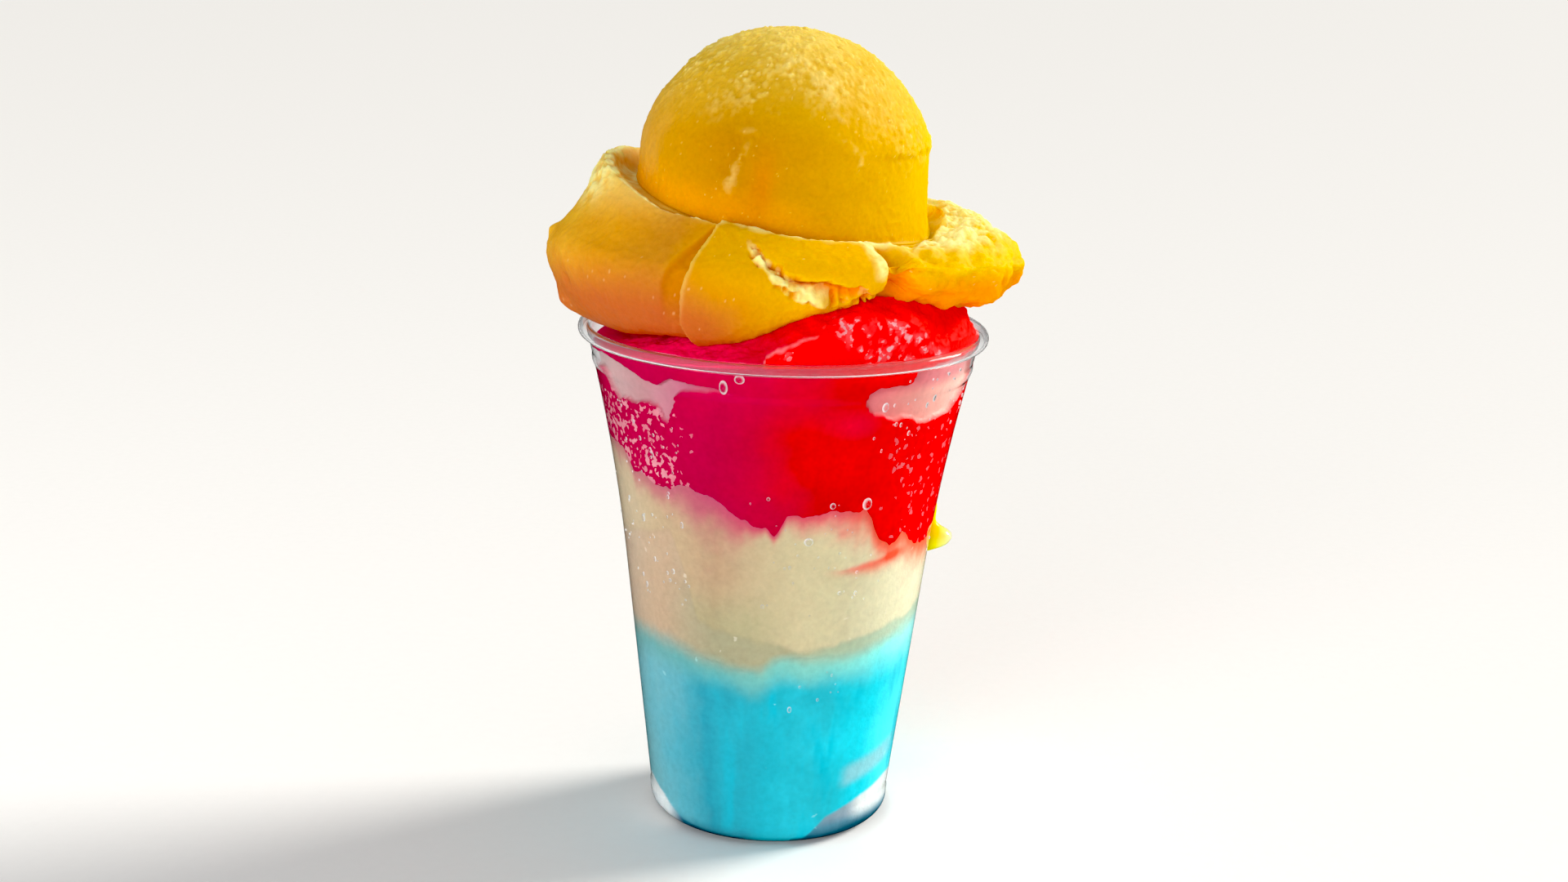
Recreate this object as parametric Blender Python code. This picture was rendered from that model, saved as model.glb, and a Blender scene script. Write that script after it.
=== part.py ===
"""Sorbet cup: a clear cup of blue, cream and red ice under a large scoop of mango sorbet.

The cup stands on its foot ring, on its own axis. Sizes are in millimetres. Angles are in degrees
seen from above: -90 is the front, 0 the right, 90 the back and 180 the left.
"""
import math

import bmesh
import bpy
import numpy as np
from mathutils import Vector, noise

MM = 0.001
GAP = 0.3  # kept between pieces that touch
SIDES = 48  # facets round the cup and round the ice in it

# Cup, pressed from thin clear sheet
CUP_HEIGHT = 122.0
SHEET = 0.5
FOOT_INNER, FOOT_OUTER = 23.3, 25.3  # the ring that it stands on
FLOOR_HEIGHT = 3.0  # underside of the raised floor
FLOOR_RADIUS = 19.0
FLOOR_SHIFT = 0.35  # the inside corners of the floor lie this much further out
HEEL_RADIUS, HEEL_HEIGHT = 29.6, 5.5
HEEL_ROUND = 4.2  # radius of the rounding from the foot to the heel
WALL_START = 7.6
WALL_RADIUS = 29.6  # at WALL_START
WALL_SLOPE = 0.121
FLARE_START, FLARE = 65.0, 0.0012  # the wall opens out above this height
BEAD_HEIGHT, BEAD = 113.0, 0.4  # stacking bead below the rim
CURL_RADIUS = 1.5  # rolled lip
CURL_CENTRE = 47.45

# Scoop of mango sorbet: a pressed ball over the collar that it dragged out of the tub
BALL_X = -0.9
BALL_RADIUS = 34.7
BALL_EQUATOR = 162.0
BALL_RISE = 30.0  # from the equator to the top
SHOULDER_SLIP = 0.04  # the dome is this much leaner than a round one at 45 degrees
SKIRT_RADIUS = 35.0  # ball's side where it meets the collar
UNDERSIDE = 130.0
SCOOP_COLUMNS = 72

# Collar, as values at angles round the ball
CREASE_Z = ((180, 156.5), (-150, 154), (-119, 150.3), (-90, 148), (-55, 146), (-20, 144.3),
            (20, 146), (45, 148), (90, 151), (135, 154.5))
LIP_Z = ((180, 160.6), (-165, 158.8), (-135, 152.6), (-90, 149.2), (-40, 147), (0, 150.5), (45, 151.5),
         (90, 154), (135, 159), (160, 161))
LIP_INNER = ((180, 39.5), (-150, 36.8), (-119, 35.6), (-55, 35.6), (0, 37), (45, 36.5), (90, 37),
             (135, 38.5))
LIP_OUTER = ((180, 44), (-150, 41), (-119, 38.5), (-75, 39), (-55, 40), (-40, 43), (-20, 48), (0, 49.5),
             (20, 46), (45, 42), (90, 42), (135, 43))
FULLNESS = ((180, 0.36), (-140, 0.5), (-60, 0.6), (-10, 0.66), (20, 0.66), (90, 0.5), (150, 0.36))
BULGE_RADIUS = ((180, 56.5), (-165, 55), (-150, 52), (-119, 46), (-90, 45), (-55, 45), (-40, 49),
                (-20, 55.5), (0, 58.5), (20, 54.5), (45, 50), (90, 49), (135, 52), (160, 54.5))
BULGE_Z = ((180, 139.5), (-119, 139), (-90, 138.5), (-55, 142), (-20, 139), (0, 137.8), (90, 140),
           (135, 140), (160, 134))
HEM_RADIUS = ((180, 42), (-150, 39), (-90, 38), (-55, 39), (-40, 41), (-20, 44), (0, 44.5), (20, 43),
              (45, 41), (90, 40), (135, 42), (160, 46.5))
HEM_Z = ((180, 121), (-150, 121.8), (-119, 125), (-90, 128), (-75, 133.5), (-55, 136), (-40, 133),
         (-20, 129), (0, 126.5), (45, 125), (90, 124), (135, 123.6), (160, 123.6))

# Marks on the collar's outside: a fold whose near side stands proud, a slanting tear, and the cleft
# before the rough lump where the collar broke off
FOLD_ANGLE, FOLD_FOOT, FOLD_LEAN = -120, 131, 0.35  # the fold leans right above its foot, degrees per mm
FOLD_DEPTH, FOLD_HALF_WIDTH = 2.6, 4.5
FLAP_RISE, FLAP_END = 2.2, -88
TEAR_START, TEAR_LENGTH, TEAR_SLOPE = (-97, 145), 22, 0.42
TEAR_DEPTH, TEAR_HALF_HEIGHT = 2.4, 2.2
CLEFT_ANGLE, CLEFT_DEPTH, CLEFT_HALF_WIDTH = -52, 4.0, 6
LUMP_START, LUMP_END = -60, 35
LUMP_CRAGS, LUMP_SIZE = 2.2, 8

# Ice in the cup: heights at the wall, and at the middle
BLUE_FOOT = ((180, 9.5), (-163, 9.1), (-148, 6.2), (-135, 3.1), (-122, 1.9), (-90, 0.9), (-72, 1.3),
             (-62, 6.8), (-43, 10), (-19, 12.2), (45, 8), (90, 5), (135, 7))
BLUE_FOOT_START = 17.0  # radius at which the underside of the blue ice begins to rise
BLUE_TOP = ((180, 48.5), (-145, 50.3), (-122, 48.3), (-105, 46), (-95, 45.7), (-86, 49.3), (-55, 49.3),
            (-18, 52.9), (45, 50), (110, 48))
BLUE_TOP_MIDDLE = 49.0
CREAM_TOP = ((180, 93), (-145, 89.7), (-116, 87), (-99, 82.9), (-91, 80.4), (-85, 83.8), (-57, 82.6),
             (-52, 78.5), (-45, 75.4), (-22, 73.1), (30, 78), (90, 85), (135, 90))
CREAM_TOP_MIDDLE = 82.0
RED_EDGE = ((180, 116.5), (-150, 118.5), (-120, 119.5), (-92, 121), (-65, 121.5), (-15, 121.5), (5, 120),
            (45, 118.5), (135, 118))
RED_SHOULDER_RADIUS = ((180, 41), (-120, 39.5), (-92, 41), (-35, 42.5), (5, 43), (45, 41.5), (90, 40))
RED_SHOULDER_Z = ((180, 118.5), (-150, 121), (-120, 124.5), (-92, 127), (-80, 130), (-65, 133),
                  (-50, 131.5), (-33, 133), (-12, 131), (5, 129), (45, 125.5), (90, 124), (135, 122))
RED_SWELL = ((180, 0.5), (-105, 0.35), (-93, 0.5), (-85, 0.85), (-50, 0.85), (-38, 0.5), (45, 0.6))
RED_MIDDLE = 134.0
RED_CRAGS, RED_CRAG_SIZE = 2.2, 7  # height and width of the broken lumps on the heap
ICE_RINGS = 5  # from the middle to the wall

# Pale hollows where the red ice stands off the wall: angle, height, half width, half height, depth
RED_HOLLOWS = ((-140, 110, 18, 5, 1.6), (-36, 110.5, 24, 6, 1.6))

# Drop of melted sorbet that hangs on the outside of the wall
DRIP_ANGLE = 8.0
DRIP_BOTTOM, DRIP_TOP = 65.5, 78.0
DRIP_BULGE = 6.4
DRIP_HALF_WIDTH = 3.4


def material(name, colour, roughness, opacity=1.0):
    """A Principled material of one sRGB colour, given as hex."""
    srgb = np.array([int(colour[i:i + 2], 16) / 255 for i in (1, 3, 5)])
    linear = np.where(srgb < 0.04045, srgb / 12.92, ((srgb + 0.055) / 1.055) ** 2.4)
    made = bpy.data.materials.new(name)
    made.use_nodes = True
    shader = made.node_tree.nodes["Principled BSDF"]
    shader.inputs["Base Color"].default_value = (*linear, 1)
    shader.inputs["Roughness"].default_value = roughness
    shader.inputs["Metallic"].default_value = 0
    shader.inputs["Alpha"].default_value = opacity
    made.diffuse_color = (*linear, opacity)
    return made


def around(knots, angle, blur=8.0):
    """Values at the given angles on a closed curve through (angle, value) knots, corners rounded."""
    at, value = np.array(knots, float).T
    shift = np.linspace(-blur, blur, 9)
    weight = np.cos(shift / blur * math.pi / 2) ** 2
    near = np.asarray(angle, float)[..., None] + shift
    return np.interp(near, at, value, period=360) @ weight / weight.sum()


def columns(count):
    """Angles of the columns of a turned shape."""
    return np.arange(count) * 360 / count - 180


def rings(angle, radius, height, centre_x=0.0):
    """Points of rings of the given radii and heights about an upright axis."""
    turn, radius, height = np.broadcast_arrays(np.radians(angle), radius, height)
    return np.stack([centre_x + radius * np.cos(turn), radius * np.sin(turn), height], axis=-1)


def lumps(points, size):
    """Smooth noise between -1 and 1 at rows of points, its lumps about the given size across."""
    return np.array([[noise.noise(Vector(p) / size) for p in row] for row in points])


def skin(name, first, rows, last, paint):
    """A closed solid over rings of points, from one end point to the other.

    Each quad is split from its outer corner in one column to its inner corner in the next, so two
    surfaces that face each other across a gap bend alike.
    """
    count, sides = rows.shape[:2]
    reach = np.hypot(rows[..., 0], rows[..., 1]).mean(axis=1)
    bm = bmesh.new()
    grid = [[bm.verts.new(Vector(p) * MM) for p in row] for row in rows]
    ends = [bm.verts.new(Vector(p) * MM) for p in (first, last)]
    for j in range(sides):
        k = (j + 1) % sides
        bm.faces.new((ends[0], grid[0][k], grid[0][j]))
        bm.faces.new((ends[1], grid[-1][j], grid[-1][k]))
        for i in range(count - 1):
            a, b, c, d = grid[i][j], grid[i][k], grid[i + 1][k], grid[i + 1][j]
            if reach[i] > reach[i + 1]:
                bm.faces.new((a, b, c))
                bm.faces.new((a, c, d))
            else:
                bm.faces.new((a, b, d))
                bm.faces.new((b, c, d))
    bmesh.ops.recalc_face_normals(bm, faces=bm.faces)
    mesh = bpy.data.meshes.new(name)
    bm.to_mesh(mesh)
    bm.free()
    mesh.shade_smooth()
    mesh.set_sharp_from_angle(angle=math.radians(40))
    mesh.materials.append(paint)
    made = bpy.data.objects.new(name, mesh)
    bpy.context.collection.objects.link(made)
    return made


def arc(centre, radius, start, end, steps):
    """Points of an arc in the profile's plane, angles in degrees from the outward direction."""
    turn = np.radians(np.linspace(start, end, steps + 1))
    return [(centre[0] + radius * math.cos(t), centre[1] + radius * math.sin(t)) for t in turn]


def wall_radius(z):
    """Outside radius of the cup's wall at a height."""
    flare = FLARE * np.maximum(np.asarray(z, float) - FLARE_START, 0) ** 2
    return WALL_RADIUS + WALL_SLOPE * (z - WALL_START) + flare


def ice_radius(z):
    """Radius of the ice at a height, clear of the wall and lip, down into the foot ring."""
    foot = np.interp(z, [0, HEEL_ROUND, HEEL_HEIGHT], [FOOT_OUTER, FOOT_OUTER + HEEL_ROUND, HEEL_RADIUS])
    wall = np.minimum(wall_radius(z), CURL_CENTRE - CURL_RADIUS + SHEET)
    return np.where(np.asarray(z) < HEEL_HEIGHT, foot, wall) - SHEET - GAP


def floor_top(radius):
    """Height of the cup's inside floor, which dips into the foot ring."""
    corner = [FLOOR_RADIUS + FLOOR_SHIFT, FOOT_INNER + FLOOR_SHIFT]
    return np.interp(radius, corner, [FLOOR_HEIGHT + SHEET, SHEET])


def build_cup():
    """Turned profile: up the outside from the floor's middle, round the lip and down the inside."""
    curl = (CURL_CENTRE, CUP_HEIGHT - CURL_RADIUS)
    heel_centre = (FOOT_OUTER, HEEL_ROUND)
    heights = np.array([WALL_START, FLARE_START, 84, 100, BEAD_HEIGHT - 1.2, BEAD_HEIGHT,
                        BEAD_HEIGHT + 1.2, CUP_HEIGHT - 3.6])
    bead = np.where(heights == BEAD_HEIGHT, BEAD, 0)
    outside = list(zip(wall_radius(heights) + bead, heights))
    inside = [(r - SHEET, z) for r, z in reversed(outside)]
    foot = [(FLOOR_RADIUS, FLOOR_HEIGHT), (FOOT_INNER, 0)]
    foot += arc(heel_centre, HEEL_ROUND, -90, 0, 3)
    foot += [(HEEL_RADIUS, HEEL_HEIGHT), (WALL_RADIUS - 0.25, 6.9)]
    heel = arc(heel_centre, HEEL_ROUND - SHEET, 0, -90, 2) + [(FOOT_INNER + FLOOR_SHIFT, SHEET)]
    profile = foot + outside
    profile += arc(curl, CURL_RADIUS - SHEET, 180, -70, 4)
    profile += arc(curl, CURL_RADIUS, -70, 90, 4)[:-1] + arc(curl, CURL_RADIUS, 90, 180, 3)
    profile += inside + [(HEEL_RADIUS - SHEET, HEEL_HEIGHT)] + heel
    profile += [(FLOOR_RADIUS + FLOOR_SHIFT, FLOOR_HEIGHT + SHEET)]
    radius, height = np.array(profile).T[..., None]
    paint = material("clear plastic", "#e7eef0", 0.08, 0.35)
    return skin("cup", (0, 0, FLOOR_HEIGHT), rings(columns(SIDES), radius, height),
                (0, 0, FLOOR_HEIGHT + SHEET), paint)


def surface(edge, middle, share):
    """Heights of a layer's boundary: the named edge at the wall, easing to the middle's height."""
    return middle + (edge - middle) * share ** 2


def build_layer(name, low, high, middle, paint, hollows=(), steps=3):
    """Ice between two surfaces, each given as rows of radius and height from the middle outwards."""
    angle = columns(SIDES)
    share = np.linspace(0, 1, steps + 2)[1:-1, None]
    side_z = low[1][-1] + (high[1][-1] - low[1][-1]) * share
    side_r = ice_radius(side_z)
    for centre, z, half_width, half_height, depth in hollows:
        off = (angle - centre) / half_width
        side_r = side_r - depth * np.exp(-off ** 4 - ((side_z - z) / half_height) ** 4)
    radius = np.concatenate([low[0], side_r, high[0][::-1]])
    height = np.concatenate([low[1], side_z, high[1][::-1]])
    return skin(name, (0, 0, middle[0]), rings(angle, radius, height), (0, 0, middle[1]), paint)


def boundary(knots, middle, lift):
    """Rows of radius and height of one layer boundary, from the middle to the wall."""
    angle = columns(SIDES)
    share = np.linspace(0, 1, ICE_RINGS + 1)[1:, None]
    edge = around(knots, angle, 3)
    radius = ice_radius(edge) * share
    return radius, surface(edge, middle, share) + lift


def build_blue_ice():
    """Lowest ice: it fills the foot ring in front and stays short of the corner elsewhere."""
    angle = columns(SIDES)
    edge = np.maximum(around(BLUE_FOOT, angle, 5), SHEET + GAP)
    radii = np.array([9, BLUE_FOOT_START, FLOOR_RADIUS + FLOOR_SHIFT, FOOT_INNER + FLOOR_SHIFT])[:, None]
    radius = np.concatenate([np.broadcast_to(radii, (len(radii), SIDES)), ice_radius(edge)[None]])
    rise = np.clip((radius - BLUE_FOOT_START) / (ice_radius(edge) - BLUE_FOOT_START), 0, 1) ** 1.5
    base = floor_top(radius) + GAP + 0.1
    height = np.maximum(base, base[0] + (edge - base[0]) * rise)
    height[-1] = edge
    top = boundary(BLUE_TOP, BLUE_TOP_MIDDLE, -GAP / 2)
    paint = material("blue ice", "#30b9c8", 0.3)
    return build_layer("blue_ice", (radius, height), top, (base[0, 0], BLUE_TOP_MIDDLE - GAP / 2), paint)


def build_cream_ice():
    """Middle layer."""
    paint = material("cream ice", "#cfb992", 0.3)
    return build_layer("cream_ice", boundary(BLUE_TOP, BLUE_TOP_MIDDLE, GAP / 2),
                       boundary(CREAM_TOP, CREAM_TOP_MIDDLE, -GAP / 2),
                       (BLUE_TOP_MIDDLE + GAP / 2, CREAM_TOP_MIDDLE - GAP / 2), paint, steps=3)


def red_top():
    """Rows of radius and height of the red heap: up from the wall to a broken shoulder, then domed."""
    angle = columns(SIDES)
    edge = around(RED_EDGE, angle, 5)
    shoulder = around(RED_SHOULDER_Z, angle, 4)
    shoulder_r = around(RED_SHOULDER_RADIUS, angle, 5)
    wall = ice_radius(CUP_HEIGHT - 5)
    share = np.array([0.3, 0.6, 0.85, 1.0])[:, None]
    inner_r = shoulder_r * share
    inner_z = RED_MIDDLE + (shoulder - RED_MIDDLE) * share ** 2
    down = np.array([0.7, 0.4, 0.0])[:, None]
    outer_r = wall + (shoulder_r - wall) * down
    outer_z = edge + (shoulder - edge) * down ** (np.log(around(RED_SWELL, angle, 4)) / math.log(0.5))
    radius = np.concatenate([inner_r, outer_r])
    height = np.concatenate([inner_z, outer_z])
    height[:-1] += RED_CRAGS * lumps(rings(angle, radius, height), RED_CRAG_SIZE)[:-1]
    return radius, height


def build_red_ice(clearance):
    """Heap of broken red ice, hollowed by the scoop that was pressed onto it."""
    paint = material("red ice", "#d0021a", 0.3)
    heap = build_layer("red_ice", boundary(CREAM_TOP, CREAM_TOP_MIDDLE, GAP / 2), red_top(),
                       (CREAM_TOP_MIDDLE + GAP / 2, RED_MIDDLE), paint, RED_HOLLOWS, steps=8)
    cut = heap.modifiers.new("seat of the scoop", "BOOLEAN")
    cut.operation = "DIFFERENCE"
    cut.solver = "EXACT"
    cut.object = clearance
    return heap


def touching_curve(points, samples):
    """Quadratic B-spline over rows of points, each pushed out so that the curve touches it."""
    pushed = points.copy()
    pushed[1:-1] += (2 * points[1:-1] - points[:-2] - points[2:]) / 6
    spans = len(pushed) - 2
    rows = []
    for step in np.linspace(0, spans, samples, endpoint=False):
        i = int(step)
        t = step - i
        before, here, after = pushed[i:i + 3]
        rows.append((1 - t) ** 2 / 2 * before + (0.5 + t - t * t) * here + t * t / 2 * after)
    return np.array(rows)


def collar_relief(angle, z):
    """How far the collar's outside stands out or in: fold, tear, cleft and lumps."""
    fold_line = FOLD_ANGLE + FOLD_LEAN * np.maximum(z - FOLD_FOOT, 0)
    fold = -FOLD_DEPTH * np.exp(-((angle - fold_line + 3) / FOLD_HALF_WIDTH) ** 2)
    flap = FLAP_RISE * np.clip((angle - fold_line) / 5, 0, 1) * np.clip((FLAP_END - angle) / 14, 0, 1)
    tear_line = TEAR_START[1] - TEAR_SLOPE * (angle - TEAR_START[0])
    across = np.exp(-((z - tear_line) / TEAR_HALF_HEIGHT) ** 2)
    along = np.exp(-((angle - TEAR_START[0] - TEAR_LENGTH / 2) * 2 / TEAR_LENGTH) ** 4)
    cleft = -CLEFT_DEPTH * np.exp(-((angle - CLEFT_ANGLE) / CLEFT_HALF_WIDTH) ** 2)
    return fold + flap - TEAR_DEPTH * across * along + cleft


def scoop_rows():
    """Rings of the scoop from its top, over the ball, out over the collar's lip and in underneath."""
    angle = columns(SCOOP_COLUMNS)
    flat = np.zeros_like(angle)
    turn = np.radians(np.linspace(11, 90, 8))[:, None]
    lean = 1 - SHOULDER_SLIP * np.sin(2 * turn) ** 2
    dome = np.stack([BALL_RADIUS * np.sin(turn) * lean + flat,
                     BALL_EQUATOR + BALL_RISE * np.cos(turn) + flat], axis=-1)
    crease = around(CREASE_Z, angle)
    lip_in, lip_out, lip_z = around(LIP_INNER, angle), around(LIP_OUTER, angle), around(LIP_Z, angle)
    bulge, bulge_z = around(BULGE_RADIUS, angle), around(BULGE_Z, angle)
    hem, hem_z = around(HEM_RADIUS, angle), around(HEM_Z, angle)
    share = np.array([0.35, 0.7])[:, None]
    side = np.stack([BALL_RADIUS + (SKIRT_RADIUS - BALL_RADIUS) * share + flat,
                     BALL_EQUATOR + (crease - BALL_EQUATOR) * share], axis=-1)
    outline = [(flat + SKIRT_RADIUS, crease + 1),
               (flat + SKIRT_RADIUS, crease),
               (SKIRT_RADIUS + 0.55 * (lip_in - SKIRT_RADIUS) + 0.3, crease),
               (lip_in + 0.5, lip_z - 0.6),
               (0.5 * (lip_in + lip_out) + 0.4, lip_z),
               (lip_out, lip_z - 1.2),
               (lip_out + around(FULLNESS, angle) * (bulge - lip_out), 0.5 * (lip_z + bulge_z)),
               (bulge, bulge_z),
               (bulge - 0.42 * (bulge - hem), hem_z + 0.25 * (bulge_z - hem_z)),
               (hem, hem_z),
               (hem - 5, hem_z + 0.25 * (UNDERSIDE - hem_z)),
               (flat + 24, flat + UNDERSIDE),
               (flat + 12, flat + UNDERSIDE)]
    collar = touching_curve(np.moveaxis(np.array(outline), 1, 2), 24)
    out = np.clip((collar[..., 0] - SKIRT_RADIUS - 2) / 3, 0, 1)
    torn = np.clip((angle - LUMP_START) / 10, 0.15, 1) * np.clip((LUMP_END - angle) / 10, 0.15, 1)
    lump = LUMP_CRAGS * torn * lumps(rings(angle, collar[..., 0], collar[..., 1]), LUMP_SIZE)
    above = np.clip((collar[..., 1] - CUP_HEIGHT - 2) / 3, 0, 1)
    collar[..., 0] += out * (collar_relief(angle, collar[..., 1]) + above * lump)
    rows = np.concatenate([dome, side, collar])
    return rings(angle, rows[..., 0], rows[..., 1], BALL_X)


def build_scoop(name, paint):
    """The ball and its collar, one pressed piece of sorbet."""
    top = (BALL_X, 0, BALL_EQUATOR + BALL_RISE)
    return skin(name, top, scoop_rows(), (BALL_X, 0, UNDERSIDE), paint)


def build_clearance(paint):
    """The scoop grown by the gap, which cuts its own seat in the red heap."""
    cutter = build_scoop("scoop_clearance", paint)
    grow = cutter.modifiers.new("gap", "DISPLACE")
    grow.strength = GAP * MM
    grow.mid_level = 0
    cutter.hide_render = True
    cutter.display_type = "WIRE"
    return cutter


def build_drip(paint):
    """Drop on the outside of the wall: a tapering top over a fat round end."""
    share = np.linspace(0, 1, 9)[1:-1, None]
    z = DRIP_BOTTOM + (DRIP_TOP - DRIP_BOTTOM) * share
    swell = np.sqrt(share) * (1 - share) ** 1.1 / 0.47
    turn = np.radians(np.arange(10) * 36)
    along = DRIP_HALF_WIDTH * swell * np.sin(turn)
    out = DRIP_BULGE * swell * np.maximum(np.cos(turn), 0)
    radius = wall_radius(z) + GAP + 0.1 + out
    angle = DRIP_ANGLE + np.degrees(along / wall_radius(z))
    rows = np.stack([radius * np.cos(np.radians(angle)), radius * np.sin(np.radians(angle)),
                     z + 0 * angle], axis=-1)
    foot, tip = rows[0].mean(axis=0) - (0, 0, 1), rows[-1].mean(axis=0) + (0, 0, 1)
    return skin("mango_drip", foot, rows, tip, paint)


for old in list(bpy.data.objects):
    bpy.data.objects.remove(old)

mango = material("mango sorbet", "#f0b414", 0.42)
build_cup()
build_blue_ice()
build_cream_ice()
build_scoop("mango_scoop", mango)
build_red_ice(build_clearance(mango))
build_drip(mango)
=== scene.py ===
import math

import bpy
import numpy as np
from mathutils import Matrix, Vector


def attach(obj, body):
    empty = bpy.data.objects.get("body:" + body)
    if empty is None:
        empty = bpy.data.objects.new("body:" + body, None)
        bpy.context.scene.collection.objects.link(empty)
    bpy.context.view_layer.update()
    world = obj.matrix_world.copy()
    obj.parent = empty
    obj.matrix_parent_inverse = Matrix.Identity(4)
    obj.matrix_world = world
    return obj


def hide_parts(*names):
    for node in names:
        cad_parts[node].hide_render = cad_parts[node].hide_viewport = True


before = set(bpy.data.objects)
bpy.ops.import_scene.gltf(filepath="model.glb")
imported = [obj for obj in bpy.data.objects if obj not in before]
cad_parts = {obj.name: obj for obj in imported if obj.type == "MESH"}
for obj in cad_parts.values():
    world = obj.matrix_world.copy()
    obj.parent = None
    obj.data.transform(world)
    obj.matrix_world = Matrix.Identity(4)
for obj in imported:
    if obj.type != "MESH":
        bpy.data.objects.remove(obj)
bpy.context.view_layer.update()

# Sizes below are in millimetres. Angles are in degrees seen from above: -90 is the front of the cup,
# 0 its right, 90 its back and 180 its left.
MM = 0.001


# Studio: a pale painted table top under an even white sky. A broad sun behind the cup on the right
# shines through the sorbet and the ice, and a weak lamp in front lifts the shaded side.
CAMERA_BACK, CAMERA_HEIGHT = 0.5378, 0.2297  # metres from the cup's axis and above the table
CAMERA_PITCH, CAMERA_ROLL, CAMERA_YAW = 14.28, 1.94, 0.11
LENS = 52.71
TABLE = 10.0  # metres across, so that it fills the background
TABLE_GAP = 0.0002  # between the table top and the foot
SUN_FROM, SUN_STRENGTH, SUN_WIDTH = (0.66, 0.36, 0.46), 3.4, 22.0  # direction, W/m2 and degrees
FILL_FROM, FILL_WIDTH, FILL_POWER = (-0.45, -1.00, 0.30), 0.80, 7.0  # metres and watts
SKY_STRENGTH = 0.46
BLACK_LEVEL = 0.02  # clears the haze of the wide white room from the deepest colours


def linear(colour):
    """Linear red, green and blue of an sRGB hex colour."""
    srgb = np.array([int(colour[i:i + 2], 16) / 255 for i in (1, 3, 5)])
    return np.where(srgb < 0.04045, srgb / 12.92, ((srgb + 0.055) / 1.055) ** 2.4)


def add(tree, kind, settings, inputs):
    """Adds a node. Each input is a value, or the output of another node, by the socket's name or place."""
    made = tree.nodes.new(kind)
    for name, value in settings.items():
        setattr(made, name, value)
    for key, value in inputs.items():
        if isinstance(value, bpy.types.NodeSocket):
            tree.links.new(value, made.inputs[key])
        else:
            made.inputs[key].default_value = value
    return made


def finish_named(name):
    """A material with an empty node tree."""
    made = bpy.data.materials.new(name)
    made.use_nodes = True
    made.node_tree.nodes.clear()
    return made, made.node_tree


def painted_table():
    """Matt wall paint on board: nearly white, with a roller's faint orange peel 3 mm across."""
    made, tree = finish_named("matt_wall_paint")
    place = add(tree, "ShaderNodeTexCoord", {}, {})
    peel = add(tree, "ShaderNodeTexNoise", {}, {"Vector": place.outputs["Object"], "Scale": 1 / (3 * MM),
                                                "Detail": 2.0})
    tone = add(tree, "ShaderNodeMix", {"data_type": "RGBA"},
               {"Factor": peel.outputs["Fac"], 6: (*linear("#f7f7f6"), 1), 7: (*linear("#fbfbfa"), 1)})
    bump = add(tree, "ShaderNodeBump", {}, {"Height": peel.outputs["Fac"], "Strength": 0.05,
                                            "Distance": 0.1 * MM})
    paint = add(tree, "ShaderNodeBsdfPrincipled", {},
                {"Base Color": tone.outputs[2], "Roughness": 0.7, "Normal": bump.outputs["Normal"]})
    add(tree, "ShaderNodeOutputMaterial", {}, {"Surface": paint.outputs["BSDF"]})
    return made


def look_from(pitch, roll, yaw):
    """Turns a camera that looks along +Y: down by pitch, round by yaw, and rolled about its view."""
    p, r, y = (math.radians(a) for a in (pitch, roll, yaw))
    ahead = Vector((math.sin(y) * math.cos(p), math.cos(y) * math.cos(p), -math.sin(p)))
    level = Vector((math.cos(y), -math.sin(y), 0))
    over = level.cross(ahead)
    side = level * math.cos(r) + over * math.sin(r)
    top = over * math.cos(r) - level * math.sin(r)
    return Matrix((side, top, -ahead)).transposed().to_4x4()


scene = bpy.context.scene
camera = bpy.data.objects.new("camera", bpy.data.cameras.new("camera"))
camera.data.lens = LENS
camera.data.sensor_width = 36
camera.data.clip_start = 0.01
camera.matrix_world = (Matrix.Translation((0, -CAMERA_BACK, CAMERA_HEIGHT))
                       @ look_from(CAMERA_PITCH, CAMERA_ROLL, CAMERA_YAW))
scene.collection.objects.link(camera)
scene.camera = camera

sun = bpy.data.objects.new("sun_lamp", bpy.data.lights.new("sun_lamp", "SUN"))
sun.data.energy = SUN_STRENGTH
sun.data.angle = math.radians(SUN_WIDTH)
sun.data.color = linear("#fffaf2")
fill = bpy.data.objects.new("fill_lamp", bpy.data.lights.new("fill_lamp", "AREA"))
fill.data.shape = "DISK"
fill.data.size = FILL_WIDTH
fill.data.energy = FILL_POWER
fill.visible_glossy = False
for lamp, place in ((sun, SUN_FROM), (fill, FILL_FROM)):
    lamp.location = place
    lamp.rotation_euler = (-Vector(place)).to_track_quat("-Z", "Y").to_euler()
    scene.collection.objects.link(lamp)

scene.world = bpy.data.worlds.new("studio")
scene.world.use_nodes = True
backdrop = scene.world.node_tree.nodes["Background"]
backdrop.inputs["Color"].default_value = (*linear("#ffffff"), 1)
backdrop.inputs["Strength"].default_value = SKY_STRENGTH
scene.world.cycles_visibility.glossy = False
scene.view_settings.view_transform = "Standard"
scene.view_settings.use_curve_mapping = True
scene.view_settings.curve_mapping.black_level = (BLACK_LEVEL, BLACK_LEVEL, BLACK_LEVEL)

half = TABLE / 2
table_mesh = bpy.data.meshes.new("table")
table_corners = [(-half, -half, -TABLE_GAP), (half, -half, -TABLE_GAP),
                 (half, half, -TABLE_GAP), (-half, half, -TABLE_GAP)]
table_mesh.from_pydata(table_corners, [], [(0, 1, 2, 3)])
table_mesh.materials.append(painted_table())
table = bpy.data.objects.new("table", table_mesh)
table.visible_glossy = False  # its mirror image in the cup would veil the ice behind
scene.collection.objects.link(table)


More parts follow.
